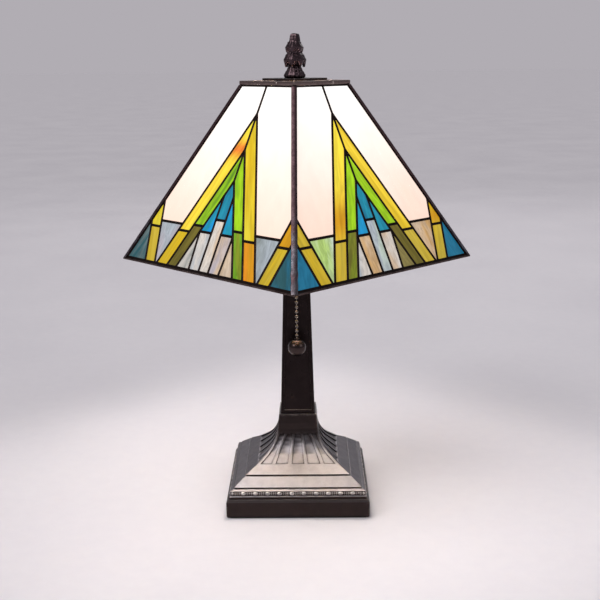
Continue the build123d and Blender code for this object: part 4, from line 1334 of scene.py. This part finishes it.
# ------------------------------------------------------------------ socket, chain, bulb and harp
@dataclass
class SocketAndChain:
    """The brass pull-chain socket, its works and the bead chain with its ball."""

    frame: dict
    bead_radius: float = 1.8 * MM
    pitch: float = 5.0 * MM
    last_bead: float = 1.7 * MM
    end_knob: float = 0.8 * MM

    def build(self) -> None:
        """Dresses the socket and builds the chain."""
        frame, metal = self.frame, CHAIN_METAL.material()
        contacts = "screw_shell", "center_contact", "bulb_contact", "switch_lever"
        carry_over(frame, SOCKET_BRASS.material(), 0.25 * MM, "socket_cap", "socket_shell", "chain_guide")
        carry_over(frame, CONTACT_BRASS.material(), 0.15 * MM, *contacts)
        carry_over(frame, FIBRE_CARD.material(), 0.0, "socket_sleeve")
        carry_over(frame, PHENOLIC.material(), 0.3 * MM, "socket_insulator")
        for node, name in (("chain_top", "guided_beads"), ("pull_chain", "hanging_beads")):
            install(self.beads(node, name), metal, node, node)
        install(self.ball(), BALL_BRONZE.material(), "pull_ball", "pull_ball")
        log.info("socket and bead chain")

    def beads(self, node: str, name: str) -> Piece:
        """Builds a string of hollow beads, each with its two end holes and rolled seam, on pinned links.

        Args:
            node: the CAD string it stands for.
            name: the new piece's name.
        Returns:
            The string of beads.
        """
        low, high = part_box(node)
        middle = ((low + high) / 2).to_2d()
        made = bmesh.new()
        radius = self.bead_radius
        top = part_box("chain_top")[1].z - radius
        heights = [top - self.pitch * k for k in range(40)]
        hangs = node == "pull_chain"
        clear = 2 * self.end_knob if hangs else 0.0
        bottom, ceiling = low.z + clear, high.z + 0.1 * MM
        balls = [(z, radius) for z in heights if bottom < z - radius and z + radius < ceiling]
        if hangs:
            balls += [(low.z + self.end_knob, self.end_knob), (bottom + self.last_bead, self.last_bead)]
        for height, size in balls:
            rings = []
            for k in range(13):
                angle = math.pi * (0.07 + 0.86 * k / 12) - math.pi / 2
                out = size * math.cos(angle) * (1.0 if k != 6 else 0.955)
                rings.append(circle_ring(out, size * math.sin(angle), 20, middle, height))
            loft(made, rings)
        ends = low.z, high.z if hangs else high.z - radius
        loft(made, [circle_ring(0.42 * MM, end, 8, middle) for end in ends])
        return mesh_object(name, made, sharp_deg=50)

    def ball(self) -> Piece:
        """Builds the pull ball, turned with a fine waist line and a small collar, open for the thread."""
        low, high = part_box("pull_ball")
        radius, top = (high.x - low.x) / 2, high.z
        thread_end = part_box("pull_chain")[0].z
        profile: list[Point2] = []
        for angle in (math.pi * k / 32 - math.pi / 2 for k in range(33)):
            if angle <= math.radians(74):
                waist = 0.18 * MM * math.exp(-((angle / 0.045) ** 2))
                out = max(0.15 * MM, radius * math.cos(angle) - waist)
                profile.append((out, low.z + radius + radius * math.sin(angle)))
        collar = ((2.5, 0.5), (2.3, 0.15), (1.7, 0.0), (1.3, 0.1), (0.95, 0.3))
        profile += [(out * MM, top - under * MM) for out, under in collar]
        profile.append((0.95 * MM, thread_end - 0.1 * MM))
        made = bmesh.new()
        loft(made, [circle_ring(out, z, 40, ((low + high) / 2).to_2d()) for out, z in profile])
        return mesh_object("turned_ball", made, sharp_deg=50)


@dataclass
class BulbAndHarp:
    """The bulb in its screw base and the wire harp round it."""

    frame: dict

    def build(self) -> None:
        """Dresses the CAD pieces."""
        frame, brass = self.frame, HARP_BRASS.material()
        carry_over(frame, FROSTED.material(), 0.0, "bulb_glass")
        frame["nodes"]["bulb_glass"].visible_shadow = False
        carry_over(frame, BULB_CAP_METAL.material(), 0.0, "bulb_base")
        carry_over(frame, brass, 0.0, "harp")
        fittings = "harp_saddle", "ferrule_left", "ferrule_right", "harp_stud", "finial_insert"
        carry_over(frame, brass, 0.3 * MM, *fittings)
        log.info("bulb and harp")


# ------------------------------------------------------------------ cap plate and finial
@dataclass
class TopOrnament:
    """The square cap plate and the leafy cone finial."""

    frame: dict

    profile: tuple[Point2, ...] = (
        (0.0, 9.6), (1.2, 10.8), (2.6, 11.0), (5.2, 9.6), (8.0, 7.7), (11.2, 6.4), (13.0, 7.6), (17.2, 10.4),
        (21.5, 8.6), (24.6, 6.3), (27.0, 7.4), (29.4, 8.2), (31.4, 6.9), (33.2, 5.8), (37.0, 4.9),
        (40.4, 4.4), (42.3, 3.7), (43.05, 2.0), (43.15, 0.2),
    )

    def build(self) -> None:
        """Dresses the plate and builds the finial."""
        carry_over(self.frame, CAP_BRONZE.material(), 0.5 * MM, "cap_plate", segments=3)
        install(self.finial(), FINIAL_BRONZE.material(), "finial", "finial")
        log.info("cap plate and finial")

    def reach(self, height: float) -> float:
        """Radius of the finial's core at a height above its foot, in millimetres."""
        for (low, first), (high, second) in zip(self.profile, self.profile[1:]):
            if height <= high:
                share = (height - low) / (high - low)
                return first + (second - first) * share * share * (3 - 2 * share)
        return self.profile[-1][1]

    def leaf(self, made: BMesh, base: float, spin_deg: float, tip: float, belly: float, root: float,
             half_width: float, proud: float, flare: float = 0.3) -> None:
        """Adds one pointed leaf that hugs the core and hangs free below its belly.

        Args:
            made: the finial's mesh.
            base: height of the finial's foot, in metres.
            spin_deg: where the leaf stands round the axis.
            tip, belly, root: heights above the foot, in millimetres.
            half_width: half its greatest width, in millimetres.
            proud: how far it stands off the core, in millimetres.
            flare: how fast it draws in below its belly.
        """
        spin = Matrix.Rotation(math.radians(spin_deg), 3, "Z")
        rows, across = 14, 8
        rings = []
        for k in range(rows + 1):
            height = tip + (root - tip) * k / rows
            out = self.reach(height) + proud
            if height < belly:
                out = max(out - 0.4, self.reach(belly) + proud - flare * (belly - height))
                half = half_width * max(0.05, (height - tip) / (belly - tip)) ** 0.6
            else:
                half = half_width * (1 - 0.55 * ((height - belly) / (root - belly)) ** 1.5)
            ring = []
            for j in range(across + 1):
                turn = (j / across - 0.5) * 2
                ridge = 0.45 * math.exp(-((turn / 0.25) ** 2)) - 1.1 * turn * turn
                ring.append(Vector((out + ridge, half * turn, height)))
            ring += [Vector((point.x - 1.5, 0.85 * point.y, height)) for point in reversed(ring)]
            rings.append([spin @ point * MM + Vector((0.0, 0.0, base)) for point in ring])
        loft(made, rings)

    def finial(self) -> Piece:
        """Builds the finial as a core with tiers of hanging leaves, fused into one skin."""
        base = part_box("finial")[0].z
        made = bmesh.new()
        heights = [0.0] + [0.6 * k for k in range(1, 72)] + [43.05, 43.15]
        rings = [circle_ring(0.2 * MM, base + 11.6 * MM, 96), circle_ring(5.3 * MM, base + 11.6 * MM, 96),
                 circle_ring(5.3 * MM, base, 96)]
        for height in heights:
            ring = []
            for k in range(96):
                angle = math.tau * k / 96
                depth = 0.9 if 0.8 < height < 10.5 else 0.0
                groove = depth * (abs(math.sin(5 * angle)) - 0.7)
                out = max(0.2, self.reach(height) + groove * min(1.0, self.reach(height) / 5)) * MM
                ring.append(Vector((out * math.cos(angle), out * math.sin(angle), base + height * MM)))
            rings.append(ring)
        loft(made, rings)
        tiers = (
            (7, 0.0, 10.4, 17.0, 25.4, 4.3, 0.9, 0.2), (7, 25.7, 12.4, 18.4, 26.0, 3.4, 0.2, 0.2),
            (6, 15.0, 24.4, 29.2, 34.8, 3.7, 0.9, 0.2), (6, 45.0, 26.0, 30.0, 35.2, 2.8, 0.2, 0.2),
            (5, 0.0, 32.4, 35.6, 42.6, 2.3, 0.4, 0.15),
        )
        for count, start, tip, belly, root, width, proud, flare in tiers:
            for k in range(count):
                self.leaf(made, base, start + 360 / count * k, tip, belly, root, width, proud, flare)
        piece = mesh_object("leaf_finial", made, sharp_deg=180)
        fuse = piece.modifiers.new("fuse", "REMESH")
        fuse.mode = "VOXEL"
        fuse.voxel_size = 0.26 * MM
        fuse.use_smooth_shade = True
        ease = piece.modifiers.new("ease", "SMOOTH")
        ease.factor = 0.5
        ease.iterations = 1
        settle(piece)
        return piece


# ------------------------------------------------------------------ stage
@dataclass
class Studio:
    """The floor, the lights, the bulb's own light and the camera."""

    def build(self) -> None:
        """Sets everything round the lamp."""
        self.floor()
        self.world()
        self.lights()
        self.camera()
        bpy.context.scene.view_settings.view_transform = "Standard"
        log.info("studio")

    def floor(self) -> None:
        """Lays a plain pale floor."""
        made = bmesh.new()
        rings = [circle_ring(reach, 0.0, 96) for reach in (40.0, 6.0, 1.0)]
        loft(made, rings, caps=False)
        made.verts.ensure_lookup_table()
        made.faces.new(made.verts[-96:])
        piece = mesh_object("floor", made)
        finish = PlainFinish("pale_floor", (206, 202, 208), (212, 208, 213), roughness=0.6, fine=60, coarse=4,
                             grain_depth=0.00002, clear_below=True)
        dress(piece, finish.material())

    def world(self) -> None:
        """Sets a pale backdrop, and a dimmer soft light from all round."""
        world = bpy.data.worlds.new("studio")
        world.use_nodes = True
        world.node_tree.nodes.clear()
        sketch = Sketch(world.node_tree)
        seen = sketch.add("Background", {"Color": opaque(linear(177, 173, 179)), "Strength": 1.0})
        lighting = sketch.add("Background", {"Color": opaque(linear(226, 224, 232)), "Strength": 0.3})
        camera_ray = sketch.add("LightPath").outputs["Is Camera Ray"]
        both = sketch.add("MixShader", {0: camera_ray, 1: lighting.outputs[0], 2: seen.outputs[0]})
        sketch.add("OutputWorld", {"Surface": both.outputs[0]})
        bpy.context.scene.world = world

    def hang(self, name: str, kind: str, power: float, colour: Colour, **settings: object) -> Piece:
        """Adds a light.

        Args:
            name: the light's name.
            kind: SUN, AREA or POINT.
            power: its power in watts, or a sun's strength.
            colour: its colour.
            settings: its other properties.
        Returns:
            The light.
        """
        data = bpy.data.lights.new(name, kind)
        for key, value in {"energy": power, "color": colour, **settings}.items():
            setattr(data, key, value)
        lamp = bpy.data.objects.new(name, data)
        bpy.context.scene.collection.objects.link(lamp)
        return lamp

    def lights(self) -> None:
        """Hangs the soft sun and the softboxes, and puts the bulb's light in the bulb."""
        key = self.hang("soft_key", "SUN", 1.9, (1.0, 0.99, 0.98), angle=math.radians(50))
        key.rotation_euler = Vector((0.5, 0.45, -1.0)).to_track_quat("-Z", "Y").to_euler()
        for side, place, size, power, colour in (
            ("left", (-1.5, -1.3, 1.6), 1.2, 8.0, (1.0, 0.98, 0.96)),
            ("right", (1.7, -0.9, 1.2), 1.0, 5.0, (0.95, 0.97, 1.0)),
            ("back", (0.3, 1.9, 1.5), 1.4, 6.0, (1.0, 0.98, 0.97)),
        ):
            box = self.hang(f"softbox_{side}", "AREA", power, colour, shape="SQUARE", size=size)
            box.location = place
            ahead = Vector((0.0, 0.0, 0.25)) - Vector(place)
            box.rotation_euler = ahead.to_track_quat("-Z", "Y").to_euler()
        low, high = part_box("bulb_glass")
        bulb = self.hang("bulb_light", "POINT", 4.2, (1.0, 0.94, 0.89), shadow_soft_size=0.028)
        bulb.location.z = high.z - (high.x - low.x) / 2

    def camera(self) -> None:
        """Sets the camera in front of the lamp, a little above its middle and looking slightly down."""
        data = bpy.data.cameras.new("camera")
        data.sensor_width = 36.0
        data.lens = 60.96
        data.clip_start = 0.01
        camera = bpy.data.objects.new("camera", data)
        yaw, pitch, roll = math.radians(-0.5), math.radians(13.34), math.radians(-0.51)
        ahead = Vector((math.sin(yaw) * math.cos(pitch), math.cos(yaw) * math.cos(pitch), -math.sin(pitch)))
        right = ahead.cross(Vector((0, 0, 1))).normalized()
        up = right.cross(ahead)
        turned = right * math.cos(roll) + up * math.sin(roll)
        upright = up * math.cos(roll) - right * math.sin(roll)
        rotation = Matrix((turned, upright, -ahead)).transposed().to_4x4()
        camera.matrix_world = Matrix.Translation(Vector((0.0123, -1.0336, 0.4579))) @ rotation
        bpy.context.scene.collection.objects.link(camera)
        bpy.context.scene.camera = camera


def main() -> None:
    """Loads the frame, builds the studio, then builds each part in order."""
    logging.basicConfig(level=logging.INFO, format="%(name)s: %(message)s")
    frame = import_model()
    Studio().build()
    for part in (Foot, SocketAndChain, BulbAndHarp, LeadedShade, TopOrnament):
        part(frame).build()


if __name__ == "__main__":
    main()
